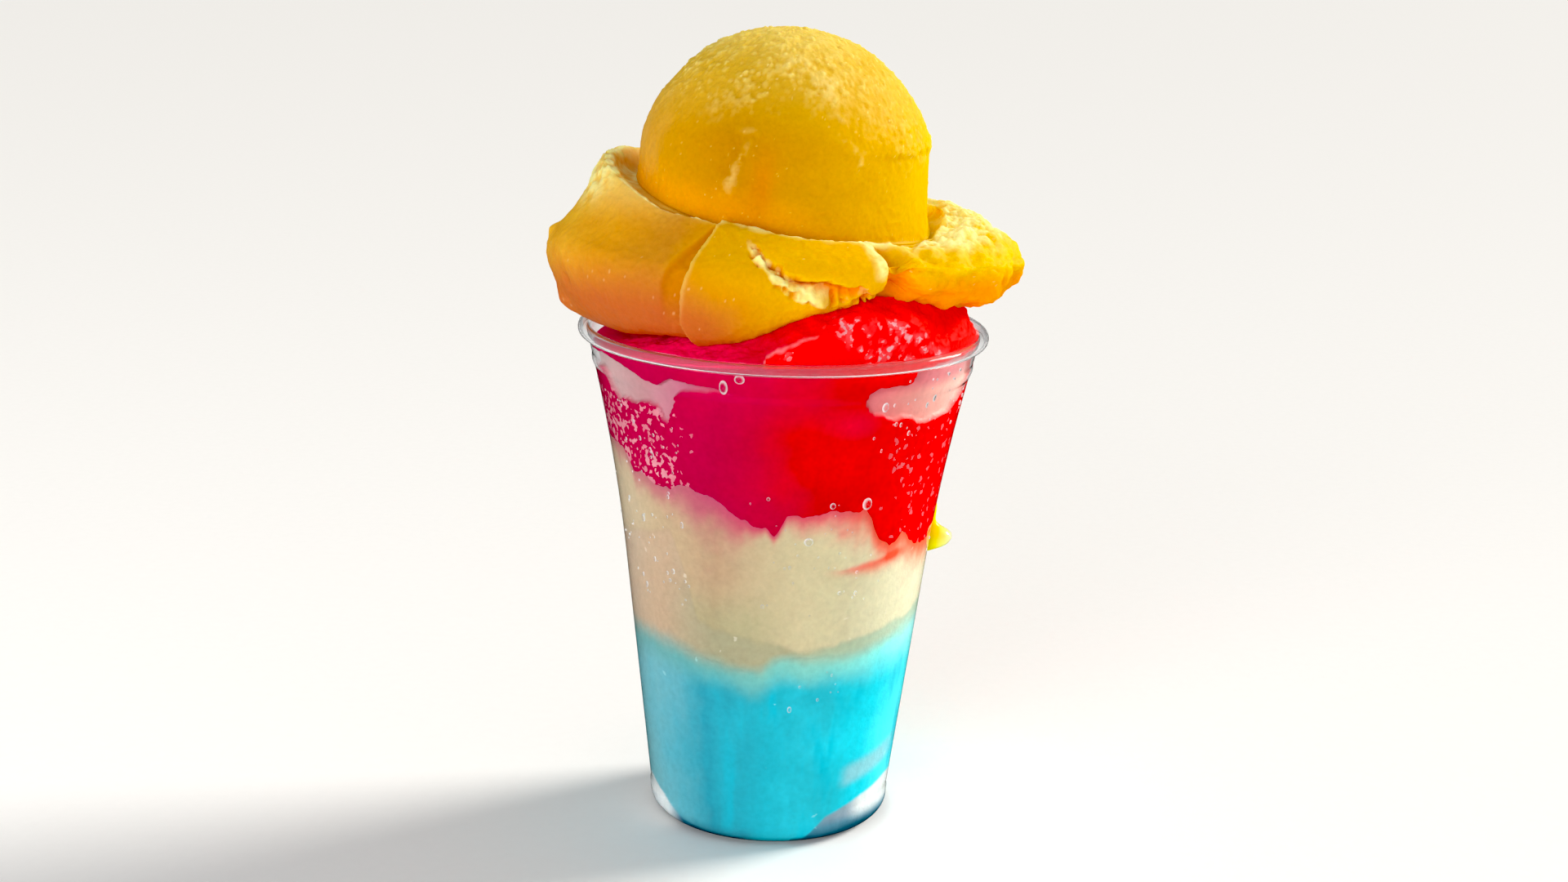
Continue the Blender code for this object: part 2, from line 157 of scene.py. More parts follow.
# Cup: one sheet of clear polypropylene, drawn warm over a mould and rolled over at the lip. The foot
# ring, the rounded heel, the stacking bead and the curl are all turned from one profile.
CUP_HEIGHT = 122.0
SHEET = 0.5  # thickness
FOOT_INNER, FOOT_OUTER = 23.3, 25.3
FLOOR_HEIGHT, FLOOR_RADIUS, FLOOR_SHIFT = 3.0, 19.0, 0.35
HEEL_RADIUS, HEEL_HEIGHT, HEEL_ROUND = 29.6, 5.5, 4.2
NOTCH, NOTCH_HEIGHT = 0.25, 6.9
WALL_START, WALL_RADIUS, WALL_SLOPE = 7.6, 29.6, 0.121
FLARE_START, FLARE = 65.0, 0.0012
BEAD_HEIGHT, BEAD, BEAD_HALF = 113.0, 0.35, 1.9
CURL_RADIUS, CURL_CENTRE = 1.5, 47.4
LIP_START, LIP_FULL = 3.4, 2.6  # below the rim, where the lip begins to scatter and does so fully
CUP_COLUMNS = 288
CREASE_ANGLE = 60  # edges sharper than this are shaded as creases


def wall_radius(z):
    """Outside radius of the wall: a straight taper that flares as the square of the height above it."""
    return WALL_RADIUS + WALL_SLOPE * (z - WALL_START) + FLARE * np.maximum(z - FLARE_START, 0) ** 2


def arc(centre, radius, start, end, steps):
    """Rows of radius and height on an arc; angles are measured from the outward direction."""
    turn = np.radians(np.linspace(start, end, steps))
    return np.stack([centre[0] + radius * np.cos(turn), centre[1] + radius * np.sin(turn)], axis=1)


def rings(angle, radius, height, centre_x=0.0):
    """Points of rings of the given radii and heights about an upright axis."""
    turn, radius, height = np.broadcast_arrays(np.radians(angle), radius, height)
    return np.stack([centre_x + radius * np.cos(turn), radius * np.sin(turn), height], axis=-1)


def closed_skin(name, first, rows, last, paint, tint=None, fleck=None):
    """A closed surface over rings of points, from one end point to the other.

    Ring i joins ring i + 1 by quads, and each end point joins its ring by triangles. The faces are
    turned over if the volume they enclose comes out negative. The tint is a colour for each point,
    and the fleck the share of pale crystals there.
    """
    count, sides = rows.shape[:2]
    points = np.concatenate([rows.reshape(-1, 3), [first], [last]]) * MM
    here = np.arange(sides)
    beside = (here + 1) % sides
    step = np.arange(count - 1)[:, None] * sides
    quads = np.stack([step + here, step + beside, step + sides + beside, step + sides + here], axis=-1)
    quads = quads.reshape(-1, 4)
    ends = (count - 1) * sides
    pole = np.full(sides, count * sides)
    caps = np.concatenate([np.stack([pole, beside, here], axis=-1),
                           np.stack([pole + 1, ends + here, ends + beside], axis=-1)])
    a, b, c, d = (points[quads[:, i]] for i in range(4))
    if np.einsum("ij,ij->", a, np.cross(b, c) + np.cross(c, d)) < 0:
        quads, caps = quads[:, ::-1], caps[:, ::-1]
    mesh = bpy.data.meshes.new(name)
    mesh.vertices.add(len(points))
    mesh.vertices.foreach_set("co", points.ravel())
    mesh.loops.add(quads.size + caps.size)
    mesh.loops.foreach_set("vertex_index", np.concatenate([quads.ravel(), caps.ravel()]))
    mesh.polygons.add(len(quads) + len(caps))
    starts = np.concatenate([np.arange(len(quads)) * 4, quads.size + np.arange(len(caps)) * 3])
    mesh.polygons.foreach_set("loop_start", starts)
    mesh.update(calc_edges=True)
    mesh.validate()
    mesh.shade_smooth()
    mesh.set_sharp_from_angle(angle=math.radians(CREASE_ANGLE))
    mesh.materials.append(paint)
    if tint is not None:
        ends_tint = np.stack([tint[0].mean(axis=0), tint[-1].mean(axis=0)])
        colours = np.concatenate([tint.reshape(-1, 4), ends_tint])
        mesh.color_attributes.new("Tint", "FLOAT_COLOR", "POINT").data.foreach_set("color", colours.ravel())
    if fleck is not None:
        shares = np.concatenate([fleck.ravel(), (0, 0)])
        mesh.attributes.new("Fleck", "FLOAT", "POINT").data.foreach_set("value", shares)
    made = bpy.data.objects.new(name, mesh)
    scene.collection.objects.link(made)
    return made


def clear_polypropylene():
    """Drawn clear sheet: glossy and water-clear, with a faint stretch haze 6 mm long up the wall.

    The rolled lip is thicker and scatters a fiftieth of the light. Light from the lamps passes
    straight through, because so thin a sheet throws no shadow. The IOR is matched at 1.25, under the
    1.49 of polypropylene, and the mirror image is tinted dark. Both keep the bright studio from
    veiling the ice at the grazing edges.
    """
    made, tree = finish_named("clear_drawn_polypropylene")
    place = add(tree, "ShaderNodeTexCoord", {}, {})
    stretch = add(tree, "ShaderNodeMapping", {}, {"Vector": place.outputs["Object"], "Scale": (1, 1, 0.25)})
    wave = add(tree, "ShaderNodeTexNoise", {}, {"Vector": stretch.outputs["Vector"], "Scale": 1 / (1.5 * MM),
                                                "Detail": 2.0})
    rough = add(tree, "ShaderNodeMapRange", {}, {"Value": wave.outputs["Fac"], "To Min": 0.015,
                                                 "To Max": 0.045})
    apart = add(tree, "ShaderNodeSeparateXYZ", {}, {"Vector": place.outputs["Object"]})
    clear_share = add(tree, "ShaderNodeMapRange", {},
                      {"Value": apart.outputs["Z"], "From Min": (CUP_HEIGHT - LIP_START) * MM,
                       "From Max": (CUP_HEIGHT - LIP_FULL) * MM, "To Min": 1.0, "To Max": 0.978})
    sheet = add(tree, "ShaderNodeBsdfPrincipled", {},
                {"Base Color": (*linear("#f4f6f8"), 1), "Roughness": rough.outputs["Result"], "IOR": 1.25,
                 "Transmission Weight": clear_share.outputs["Result"],
                 "Specular Tint": (0.15, 0.15, 0.15, 1)})
    clear = add(tree, "ShaderNodeBsdfTransparent", {}, {"Color": (*linear("#fafcfd"), 1)})
    path = add(tree, "ShaderNodeLightPath", {}, {})
    both = add(tree, "ShaderNodeMixShader", {}, {0: path.outputs["Is Shadow Ray"], 1: sheet.outputs["BSDF"],
                                                 2: clear.outputs["BSDF"]})
    add(tree, "ShaderNodeOutputMaterial", {}, {"Surface": both.outputs["Shader"]})
    return made


curl = (CURL_CENTRE, CUP_HEIGHT - CURL_RADIUS)
heel = (FOOT_OUTER, HEEL_ROUND)
wall_z = np.concatenate([np.linspace(WALL_START, BEAD_HEIGHT - 2 * BEAD_HALF, 44),
                         np.linspace(BEAD_HEIGHT - BEAD_HALF, BEAD_HEIGHT + BEAD_HALF, 9),
                         np.linspace(BEAD_HEIGHT + 2 * BEAD_HALF, CUP_HEIGHT - 3.6, 4)])
bead = BEAD * np.cos(np.clip((wall_z - BEAD_HEIGHT) / BEAD_HALF, -1, 1) * math.pi / 2) ** 2
outside = np.stack([wall_radius(wall_z) + bead, wall_z], axis=1)
inside = (outside - (SHEET, 0))[::-1]
profile = np.concatenate([
    [(FLOOR_RADIUS * 0.5, FLOOR_HEIGHT), (FLOOR_RADIUS, FLOOR_HEIGHT), (FOOT_INNER - 0.5, 0.35),
     (FOOT_INNER, 0)],
    arc(heel, HEEL_ROUND, -90, 0, 14),
    [(HEEL_RADIUS, HEEL_HEIGHT), (WALL_RADIUS - NOTCH, NOTCH_HEIGHT)],
    outside,
    arc(curl, CURL_RADIUS - SHEET, 180, -70, 16),
    arc(curl, CURL_RADIUS, -70, 180, 22),
    inside,
    [(HEEL_RADIUS - SHEET, HEEL_HEIGHT)],
    arc(heel, HEEL_ROUND - SHEET, 0, -90, 12),
    [(FOOT_INNER + FLOOR_SHIFT, SHEET), (FOOT_INNER - 0.4, SHEET + 0.35),
     (FLOOR_RADIUS + FLOOR_SHIFT, FLOOR_HEIGHT + SHEET), (FLOOR_RADIUS * 0.5, FLOOR_HEIGHT + SHEET)]])
cup_angles = np.arange(CUP_COLUMNS) * 360 / CUP_COLUMNS - 180
cup = closed_skin("clear_cup", (0, 0, FLOOR_HEIGHT), rings(cup_angles, profile[:, :1], profile[:, 1:]),
                  (0, 0, FLOOR_HEIGHT + SHEET), clear_polypropylene())
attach(cup, "root")
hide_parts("cup")


# Blue ice: fine shaved water ice soaked in blue syrup, poured in first. It melted a little, and its
# melt water fills the corner of the foot. It is painted white at both sides, as painted light of the bright
# room seen through it, and painted dark low down, as painted shade in the foot.
FOOT_EDGE = 0.9  # height where the ice meets the heel
# Top of the melt water, and top of the blue, as heights at an angle
MELT_WATER = ((180, 9.5), (-163, 9.1), (-148, 6.2), (-135, 3.1), (-122, 1.9), (-90, 0.9), (-72, 1.3),
             (-62, 6.8), (-43, 10), (-19, 12.2), (45, 8), (90, 5), (135, 7))
FOOT_START = 17.0
BLUE_TOP = ((180, 48.5), (-145, 50.3), (-122, 48.3), (-105, 46), (-95, 45.7), (-86, 49.3), (-55, 49.3),
            (-18, 52.9), (45, 50), (110, 48))
BLUE_TOP_MIDDLE = 49.0
INTO_WALL = 0.2  # how far the ice reaches into the sheet, so that no film of air shows
# Blue by facing, left to right: the bright right end is painted light of the sun behind on the right
BLUE_STOPS = ((-1.0, "#8ccad2"), (-0.8, "#74bcc8"), (-0.45, "#3a9eb0"), (0.0, "#34b8c8"), (0.35, "#3ccbda"),
              (0.7, "#30e6f6"), (1.0, "#60f2ff"))
# The melted band between the blue and the cream, brighter to the right as painted light
BAND_STOPS = ((-1.0, "#84bab8"), (-0.6, "#6eaeac"), (-0.25, "#76b6b0"), (0.0, "#86c6ba"),
              (0.35, "#92dace"), (0.75, "#98fcf4"), (1.0, "#b4fcf8"))
BAND_HEIGHT = 7.0
PALE_PATCH = (-40, 18, 0.1, 2.8)  # angle, height, mm of rise per degree and half height
# Melt water colours by height: the dark low end is painted shade in the foot
WATER_STOPS = ((1.0, "#175a74"), (2.4, "#2c6f88"), (4.2, "#5f97ab"), (6.0, "#93a8b6"), (9.0, "#a9b9c2"))
WALL_MEAN = 36.0
FEW_FLECKS = 0.001  # share of pale crystals in the fine ice
ICE_COLUMNS = 520
FRONT_BIAS = 0.35  # columns stand this much closer in front than the even spacing


def spread(count):
    """Angles of the columns of a turned shape, closest at the front, where the most detail is."""
    share = np.arange(count) / count
    lean = np.sin(2 * math.pi * (share - 0.25)) + 1
    return -180 + 360 * (share - FRONT_BIAS * lean / (2 * math.pi))


def around(knots, angle, blur=8.0):
    """Values at the given angles on a closed curve through (angle, value) knots, corners rounded."""
    at, value = np.array(knots, float).T
    shift = np.linspace(-blur, blur, 9)
    weight = np.cos(shift / blur * math.pi / 2) ** 2
    near = np.asarray(angle, float)[..., None] + shift
    return np.interp(near, at, value, period=360) @ weight / weight.sum()


def step_up(value, start, end):
    """0 below start, 1 above end, and a smooth S between them."""
    share = np.clip((value - start) / (end - start), 0, 1)
    return share * share * (3 - 2 * share)


def grain(points, size, seed):
    """Lattice noise from -1 to 1: a fixed random value at each corner of cubes of the given size.

    The value between the corners is their mean, weighted by an S-curve along each axis.
    """
    place = points / size
    cell = np.floor(place).astype(np.int64)
    part = place - cell
    ease = part * part * (3 - 2 * part)
    total = np.zeros(points.shape[:-1])
    for corner in np.ndindex(2, 2, 2):
        total += scatter(cell + corner, seed) * np.where(corner, ease, 1 - ease).prod(axis=-1)
    return total * 2 - 1


def scatter(cell, seed):
    """A fixed random number from 0 to 1 for each whole-numbered cell, from a mix of its bits."""
    x, y, z = np.moveaxis(cell, -1, 0)
    mixed = x * 73856093 ^ y * 19349663 ^ z * 83492791 ^ (seed + 11) * 2654435
    mixed = (mixed ^ (mixed >> 15)) * 1274126177 & 0x7FFFFFFF
    mixed = (mixed ^ (mixed >> 13)) * 974711 & 0x7FFFFFFF
    return ((mixed ^ (mixed >> 11)) & 0xFFFFF) / 0xFFFFF


def layered(points, size, octaves, seed):
    """Lattice noise summed over octaves, each half the size and 0.55 the height of the one before."""
    weights = 0.55 ** np.arange(octaves)
    return sum(w * grain(points, size / 2 ** k, seed + 7 * k) for k, w in enumerate(weights)) / weights.sum()


def crumbs(points, size, seed):
    """Crumbs scattered one to a cube: distance to the nearest, in sizes, and that crumb's number."""
    place = points / size
    cell = np.floor(place).astype(np.int64)
    nearest = np.full(points.shape[:-1], 9.0)
    number = np.zeros(points.shape[:-1])
    for corner in np.ndindex(3, 3, 3):
        around_cell = cell + corner - 1
        centre = np.stack([scatter(around_cell, seed + k) for k in (1, 2, 3)], axis=-1)
        gap = np.linalg.norm(around_cell + centre - place, axis=-1)
        closer = gap < nearest
        nearest = np.where(closer, gap, nearest)
        number = np.where(closer, scatter(around_cell, seed + 4), number)
    return nearest, number


def mix(first, second, share):
    """Colours between two, share of the way."""
    return first + (second - first) * np.asarray(share)[..., None]


def washed(colour, washes):
    """A colour with washes laid over it in turn, each an sRGB hex colour and its share of the way."""
    for wash, share in washes:
        colour = mix(colour, linear(wash), share)
    return colour


def stops(value, named):
    """Linear colours at values between (value, hex colour) stops."""
    at = [stop for stop, _ in named]
    colours = np.array([linear(colour) for _, colour in named])
    return np.stack([np.interp(value, at, colours[:, i]) for i in range(3)], axis=-1)


def outward(rows):
    """Unit normals of a grid of points that closes on itself along its columns."""
    across = np.roll(rows, -1, axis=1) - np.roll(rows, 1, axis=1)
    normal = np.cross(across, np.gradient(rows, axis=0))
    normal /= np.linalg.norm(normal, axis=-1, keepdims=True) + 1e-9
    return normal if (normal * (rows - rows.mean(axis=(0, 1)))).sum() > 0 else -normal


def cup_inside(z):
    """Inside radius of the cup: the heel's arc, a short upright and then the wall."""
    arch = (HEEL_ROUND - SHEET) ** 2 - (HEEL_ROUND - np.clip(z, SHEET, HEEL_ROUND)) ** 2
    wall = np.where(z < WALL_START, HEEL_RADIUS, wall_radius(z)) - SHEET
    return np.where(z < HEEL_ROUND, FOOT_OUTER + np.sqrt(np.maximum(arch, 0)), wall)


def floor_top(radius):
    """Height of the cup's inside floor, which dips into the foot ring."""
    corner = [FLOOR_RADIUS + FLOOR_SHIFT, FOOT_INNER + FLOOR_SHIFT]
    return np.interp(radius, corner, [FLOOR_HEIGHT + SHEET, SHEET])


def boundary(angle, knots, blur, middle, ragged, steps):
    """Radius and height of one face between two layers: level at the middle, ragged at the wall.

    Its height rises from the middle as the square of the radius. The raggedness is lattice noise,
    read on a circle of the wall's mean radius.
    """
    circle = rings(angle, WALL_MEAN, 0 * angle)
    edge = around(knots, angle, blur)
    edge = edge + ragged * (layered(circle, 5, 4, 3) + 0.4 * grain(circle, 1.1, 4))
    share = np.linspace(0, 1, steps + 1)[1:, None]
    return (cup_inside(edge) + INTO_WALL) * share, middle + (edge - middle) * share ** 2


def side(low, high, steps):
    """Radius and height of the ice between two edges at the wall."""
    share = np.linspace(0, 1, steps + 2)[1:-1, None]
    height = low + (high - low) * share
    return cup_inside(height) + INTO_WALL, height


def syrup_ice(name, glow, crystal, crystal_size):
    """Shaved ice frozen together in syrup: wet, so glossy, with frost grains about 1 mm across.

    The tint's fourth value is frost, which is rougher and shows its grain more. Angular crystals,
    cells of a pattern bent by noise, turn pale where their number is under the fleck share.
    """
    made, tree = finish_named(name)
    place = add(tree, "ShaderNodeTexCoord", {}, {})
    tint = add(tree, "ShaderNodeAttribute", {"attribute_name": "Tint"}, {})
    fleck = add(tree, "ShaderNodeAttribute", {"attribute_name": "Fleck"}, {})
    fine = add(tree, "ShaderNodeTexNoise", {}, {"Vector": place.outputs["Object"], "Scale": 1 / (1.6 * MM),
                                                "Detail": 4.0, "Roughness": 0.6})
    bent = add(tree, "ShaderNodeVectorMath", {"operation": "MULTIPLY_ADD"},
               {0: fine.outputs["Color"], 1: (1.6 * MM,) * 3, 2: place.outputs["Object"]})
    cells = add(tree, "ShaderNodeTexVoronoi", {}, {"Vector": bent.outputs["Vector"],
                                                   "Scale": 1 / (crystal_size * MM)})
    number = add(tree, "ShaderNodeSeparateXYZ", {}, {"Vector": cells.outputs["Color"]})
    chosen = add(tree, "ShaderNodeMath", {"operation": "LESS_THAN"}, {0: number.outputs["X"],
                                                                      1: fleck.outputs["Fac"]})
    strength = add(tree, "ShaderNodeMapRange", {}, {"Value": fleck.outputs["Fac"], "From Max": 0.5,
                                                    "To Min": 0.3, "To Max": 0.9})
    share = add(tree, "ShaderNodeMath", {"operation": "MULTIPLY"}, {0: chosen.outputs["Value"],
                                                                    1: strength.outputs["Result"]})
    flecked = add(tree, "ShaderNodeMix", {"data_type": "RGBA"},
                  {"Factor": share.outputs["Value"], 6: tint.outputs["Color"], 7: (*linear(crystal), 1)})
    shade = add(tree, "ShaderNodeMapRange", {}, {"Value": fine.outputs["Fac"], "From Min": 0.3,
                                                 "From Max": 0.7, "To Min": 0.93, "To Max": 1.06})
    colour = add(tree, "ShaderNodeVectorMath", {"operation": "SCALE"},
                 {0: flecked.outputs[2], "Scale": shade.outputs["Result"]})
    rough = add(tree, "ShaderNodeMapRange", {}, {"Value": tint.outputs["Alpha"], "To Min": 0.32,
                                                 "To Max": 0.62})
    height = add(tree, "ShaderNodeMath", {"operation": "MULTIPLY_ADD"},
                 {0: cells.outputs["Distance"], 1: tint.outputs["Alpha"], 2: fine.outputs["Fac"]})
    bump = add(tree, "ShaderNodeBump", {}, {"Height": height.outputs["Value"], "Strength": 0.35,
                                            "Distance": 0.35 * MM})
    ice = add(tree, "ShaderNodeBsdfPrincipled", {},
              {"Base Color": colour.outputs["Vector"], "Roughness": rough.outputs["Result"], "IOR": 1.31,
               "Subsurface Weight": glow, "Subsurface Radius": (1.0, 0.6, 0.5), "Subsurface Scale": 3 * MM,
               "Specular IOR Level": 0.12, "Normal": bump.outputs["Normal"]})
    add(tree, "ShaderNodeOutputMaterial", {}, {"Surface": ice.outputs["BSDF"]})
    return made


def layer(name, low, wall, high, middle, paint, tint, fleck):
    """Ice between two faces, each given from the middle outwards, joined by its side at the wall."""
    radius = np.concatenate([low[0], wall[0], high[0][::-1]])
    height = np.concatenate([low[1], wall[1], high[1][::-1]])
    rows = rings(ice_angles, radius, height)
    return closed_skin(name, (0, 0, middle[0]), rows, (0, 0, middle[1]), paint, tint(rows, height),
                       fleck + 0 * height)


def blue_colour(rows, height):
    """Syrup blue, paler to the left and, as painted light, brighter to the right, with upright runs and slow
    clouds.

    Below the melt water's top it is pale water, painted darker downwards as shade, and painted white at both
    sides as painted light.
    """
    turn = np.cos(np.radians(ice_angles)) + 0 * height
    runs = layered(rows * np.array([1, 1, 0.22]), 4.5, 4, 22)
    clouds = layered(rows, 13, 3, 21)
    colour = stops(np.clip(turn + 0.12 * runs + 0.12 * clouds, -1, 1), BLUE_STOPS)
    colour = colour * (1 + 0.1 * clouds + 0.1 * runs)[..., None]
    bright = step_up(runs, 0.02, 0.5) * step_up(turn, -0.5, -0.1)
    at, z, slope, half = PALE_PATCH
    patch = (np.exp(-((height - z - slope * (ice_angles - at)) / half) ** 4)
             * step_up(ice_angles + 4 * runs, -58, -50) * step_up(-ice_angles, 8, 30))
    # Darker low on the left: painted shade near the foot
    sunk = step_up(-height + 1.5 * clouds, -5.2, -1.5) * step_up(-turn, 0.06, 0.2)
    colour = washed(colour, (("#16bed4", 0.6 * bright), ("#a0d8e0", 0.85 * patch), ("#3a8496", 0.7 * sunk)))
    under = step_up(around(MELT_WATER, ice_angles, 2) - height + 0.8 * clouds, -0.5, 0.5)
    water = stops(height + 1.2 * clouds, WATER_STOPS)
    # White at both sides: painted light of the bright room seen through the clear water
    white = np.clip(step_up(turn, 0.62, 0.78) * step_up(height, 3, 7) + step_up(-turn, 0.7, 0.85), 0, 1)
    water = mix(water, linear("#f4f8f6"), 0.9 * white)
    return mix(colour, water, under * (np.abs(turn) > 0.2))


# Cream by facing: darker in front and brightest at the right, painted shade and light of the sun behind
CREAM_STOPS = ((-1.0, "#d8c2aa"), (-0.8, "#ccb296"), (-0.4, "#ba9a80"), (0.0, "#c6b294"), (0.4, "#dacbaa"),
               (0.75, "#ece2c6"), (1.0, "#f4ead2"))
UNDER_STOPS = ((-1.0, "#cbb8a0"), (-0.4, "#a8a284"), (0.1, "#b0aa8a"), (0.4, "#bccaaa"), (1.0, "#c8e0c8"))
TONGUE_EDGE = ((-124, 66), (-120.5, 57), (-111, 55.2), (-98.7, 54), (-88.8, 52.4), (-80.5, 51.1),
               (-73, 51.4), (-63.4, 52.7), (-49.5, 53.5), (-20, 56), (60, 56), (120, 60), (-180, 70),
               (-130, 78))


def cream_colour(rows, height):
    """Cream, yellower in a tongue with a faint scalloped edge, and grey-beige below it."""
    turn = np.cos(np.radians(ice_angles)) + 0 * height
    colour = stops(np.clip(turn + 0.15 * layered(rows, 20, 3, 8), -1, 1), CREAM_STOPS)
    edge = around(TONGUE_EDGE, ice_angles, 2)
    past = height - edge - 1.6 * layered(rows, 7, 3, 2)
    dull = step_up(-height, -70, -56) * step_up(-turn, -0.2, 0.25) * step_up(turn, -0.8, -0.5)
    colour = washed(colour, (("#a8a886", 0.5 * dull),))
    under = stops(turn, UNDER_STOPS)
    under = mix(under, colour, step_up(-turn, 0.35, 0.75))
    colour = mix(under, colour * np.array([1.0, 1.05, 0.98]), step_up(past, -0.9, 0.9))
    rim = np.exp(-(past / 0.8) ** 2)
    return colour * (1 - 0.05 * rim + 0.05 * layered(rows, 9, 3, 14))[..., None]


def two_layers(rows, height):
    """Blue below and cream above, with the aqua band where they melted together between them."""
    edge = around(BLUE_TOP, ice_angles, 3)
    turn = np.cos(np.radians(ice_angles)) + 0 * height
    drift = 2.4 * layered(rows, 10, 4, 31)
    band_low = -BAND_HEIGHT - 2 - 3 * step_up(turn, 0.2, 0.8)
    colour = mix(blue_colour(rows, height), stops(turn, BAND_STOPS),
                 step_up(height - edge + 1.5 * drift, band_low, -1))
    soft = 1.8 + 1.6 * step_up(-turn, -0.1, 0.5) + 0.8 * step_up(turn, 0.1, 0.5)
    colour = mix(colour, cream_colour(rows, height), step_up(height - edge + 0.9 * drift, -soft, soft))
    frost = 0.25 + 0.2 * layered(rows, 5, 2, 40)
    return np.concatenate([colour, frost[..., None]], axis=-1)


ice_angles = spread(ICE_COLUMNS)
foot_edge = FOOT_EDGE + 0 * ice_angles
foot_rim = cup_inside(foot_edge) + INTO_WALL
foot_share = np.linspace(0.1, 1, 34)[:, None]
foot_radius = foot_rim * foot_share
foot_rise = np.clip((foot_radius - FOOT_START) / (foot_rim - FOOT_START), 0, 1) ** 1.5
foot_base = floor_top(foot_radius) - INTO_WALL
foot_height = np.maximum(foot_base, foot_base[0] + (foot_edge - foot_base[0]) * foot_rise)
foot_height[-1] = foot_edge
blue_top = boundary(ice_angles, BLUE_TOP, 3, BLUE_TOP_MIDDLE, 0.5, 10)
blue_side = side(foot_edge, blue_top[1][-1], 96)
blue = layer("blue_ice_soaked", (foot_radius, foot_height), blue_side, blue_top,
             (foot_base[0, 0], BLUE_TOP_MIDDLE), syrup_ice("blue_syrup_ice", 0.35, "#c8ffff", 0.8),
             two_layers, FEW_FLECKS)
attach(blue, "root")
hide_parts("blue_ice")


# Cream ice: the same shaved ice in a milky syrup, spooned over the blue. Their surfaces melted into
# each other, and red syrup has run down into the cream from above.
CREAM_TOP = ((180, 96.5), (-166.9, 95.6), (-152.7, 95.3), (-149.6, 92.7), (-147.3, 91), (-141.4, 90.2),
             (-137.8, 89.1), (-132.2, 88.9), (-128.4, 88.2), (-125.1, 89.9), (-120, 89.9), (-113.7, 88.8),
             (-109.3, 87.1), (-103.9, 84.8), (-99.1, 83.7), (-95.2, 82.4), (-92.8, 81.8), (-90.9, 80.4),
             (-89.5, 81.7), (-87.7, 83.7), (-86.8, 85.5), (-82.1, 84.8), (-78.2, 84.8), (-71.5, 86),
             (-66.5, 86.1), (-62, 85.1), (-59.5, 86.1), (-55.9, 83.1), (-53.9, 80.1), (-51.3, 77.3),
             (-45.8, 75), (-42.4, 76.2), (-40.2, 78.6), (-36.8, 76.8), (-30.7, 74.2), (-25, 73.1),
             (-10, 74), (30, 78), (90, 85), (135, 92))
CREAM_TOP_MIDDLE = 82.0
BLEED_DEPTH = ((180, 6), (-150, 6), (-128, 9), (-118, 16), (-106, 12), (-95, 3), (-87, 4), (-75, 6),
               (-60, 13), (-52, 5), (-40, 7), (-20, 8), (60, 6))
# Red syrup in the cream by facing: brighter to the right as painted light
BLEED_STOPS = ((-1.0, "#cc8a88"), (-0.4, "#bc5070"), (0.0, "#d04a66"), (0.35, "#e85a6a"), (0.6, "#ff5a44"),
               (1.0, "#ff7448"))
STREAK = ((-73, 70.6), (-60, 71.4), (-50, 72.2), (-40, 73.6))  # a thread of red syrup in the cream


def cream_with_syrup(rows, height):
    """Cream, with red syrup soaking down from its top edge and one thread of it lower down."""
    colour = two_layers(rows, height)
    turn = np.cos(np.radians(ice_angles)) + 0 * height
    edge = cream_top[1][-1]
    depth = around(BLEED_DEPTH, ice_angles, 4)
    below = np.maximum(edge - height, 0) * (1 + 0.6 * layered(rows, 5, 3, 17))
    soaked = np.exp(-(below / (0.55 * depth)) ** 2)
    line = np.interp(ice_angles, *np.array(STREAK).T)
    across = (height - line - 0.7 * layered(rows, 5, 3, 23)) / (0.45 + 0.5 * step_up(ice_angles, -66, -45))
    length = step_up(ice_angles, -74, -56) * step_up(-ice_angles, 34, 42)
    thread = np.exp(-np.where(across > 0, across, across / 2.5) ** 2) * length
    share = np.clip(0.95 * soaked + 0.75 * thread, 0, 1)
    colour[..., :3] = mix(colour[..., :3], stops(turn, BLEED_STOPS), share)
    return colour


cream_top = boundary(ice_angles, CREAM_TOP, 0.8, CREAM_TOP_MIDDLE, 1.1, 10)
cream_side = side(blue_top[1][-1], cream_top[1][-1], 84)
cream = layer("cream_ice_soaked", blue_top, cream_side, cream_top, (BLUE_TOP_MIDDLE, CREAM_TOP_MIDDLE),
              syrup_ice("milky_syrup_ice", 0.35, "#fff8e8", 0.8), cream_with_syrup, FEW_FLECKS)
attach(cream, "root")
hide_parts("cream_ice")


# Red ice: coarse broken ice in red syrup, heaped above the rim. It stands off the wall in two pale
# frosted hollows under the lip, and is rough with white crystals beside them and on the heap.
RED_EDGE = ((180, 116.5), (-150, 118.5), (-120, 119.5), (-92, 121), (-65, 121.5), (-15, 121.5), (5, 120),
            (45, 118.5), (135, 118))
RED_SHOULDER_RADIUS = ((180, 41), (-120, 39.5), (-92, 41), (-35, 42.5), (5, 43), (45, 41.5), (90, 40))
RED_SHOULDER_Z = ((180, 118.5), (-150, 121), (-120, 124.5), (-92, 129), (-80, 132.5), (-65, 135),
                  (-50, 135), (-33, 134), (-12, 132), (5, 129.5), (45, 125.5), (90, 124), (135, 122))
RED_SWELL = ((180, 0.5), (-105, 0.35), (-93, 0.5), (-85, 0.85), (-50, 0.85), (-38, 0.5), (45, 0.6))
RED_MIDDLE = 129.0
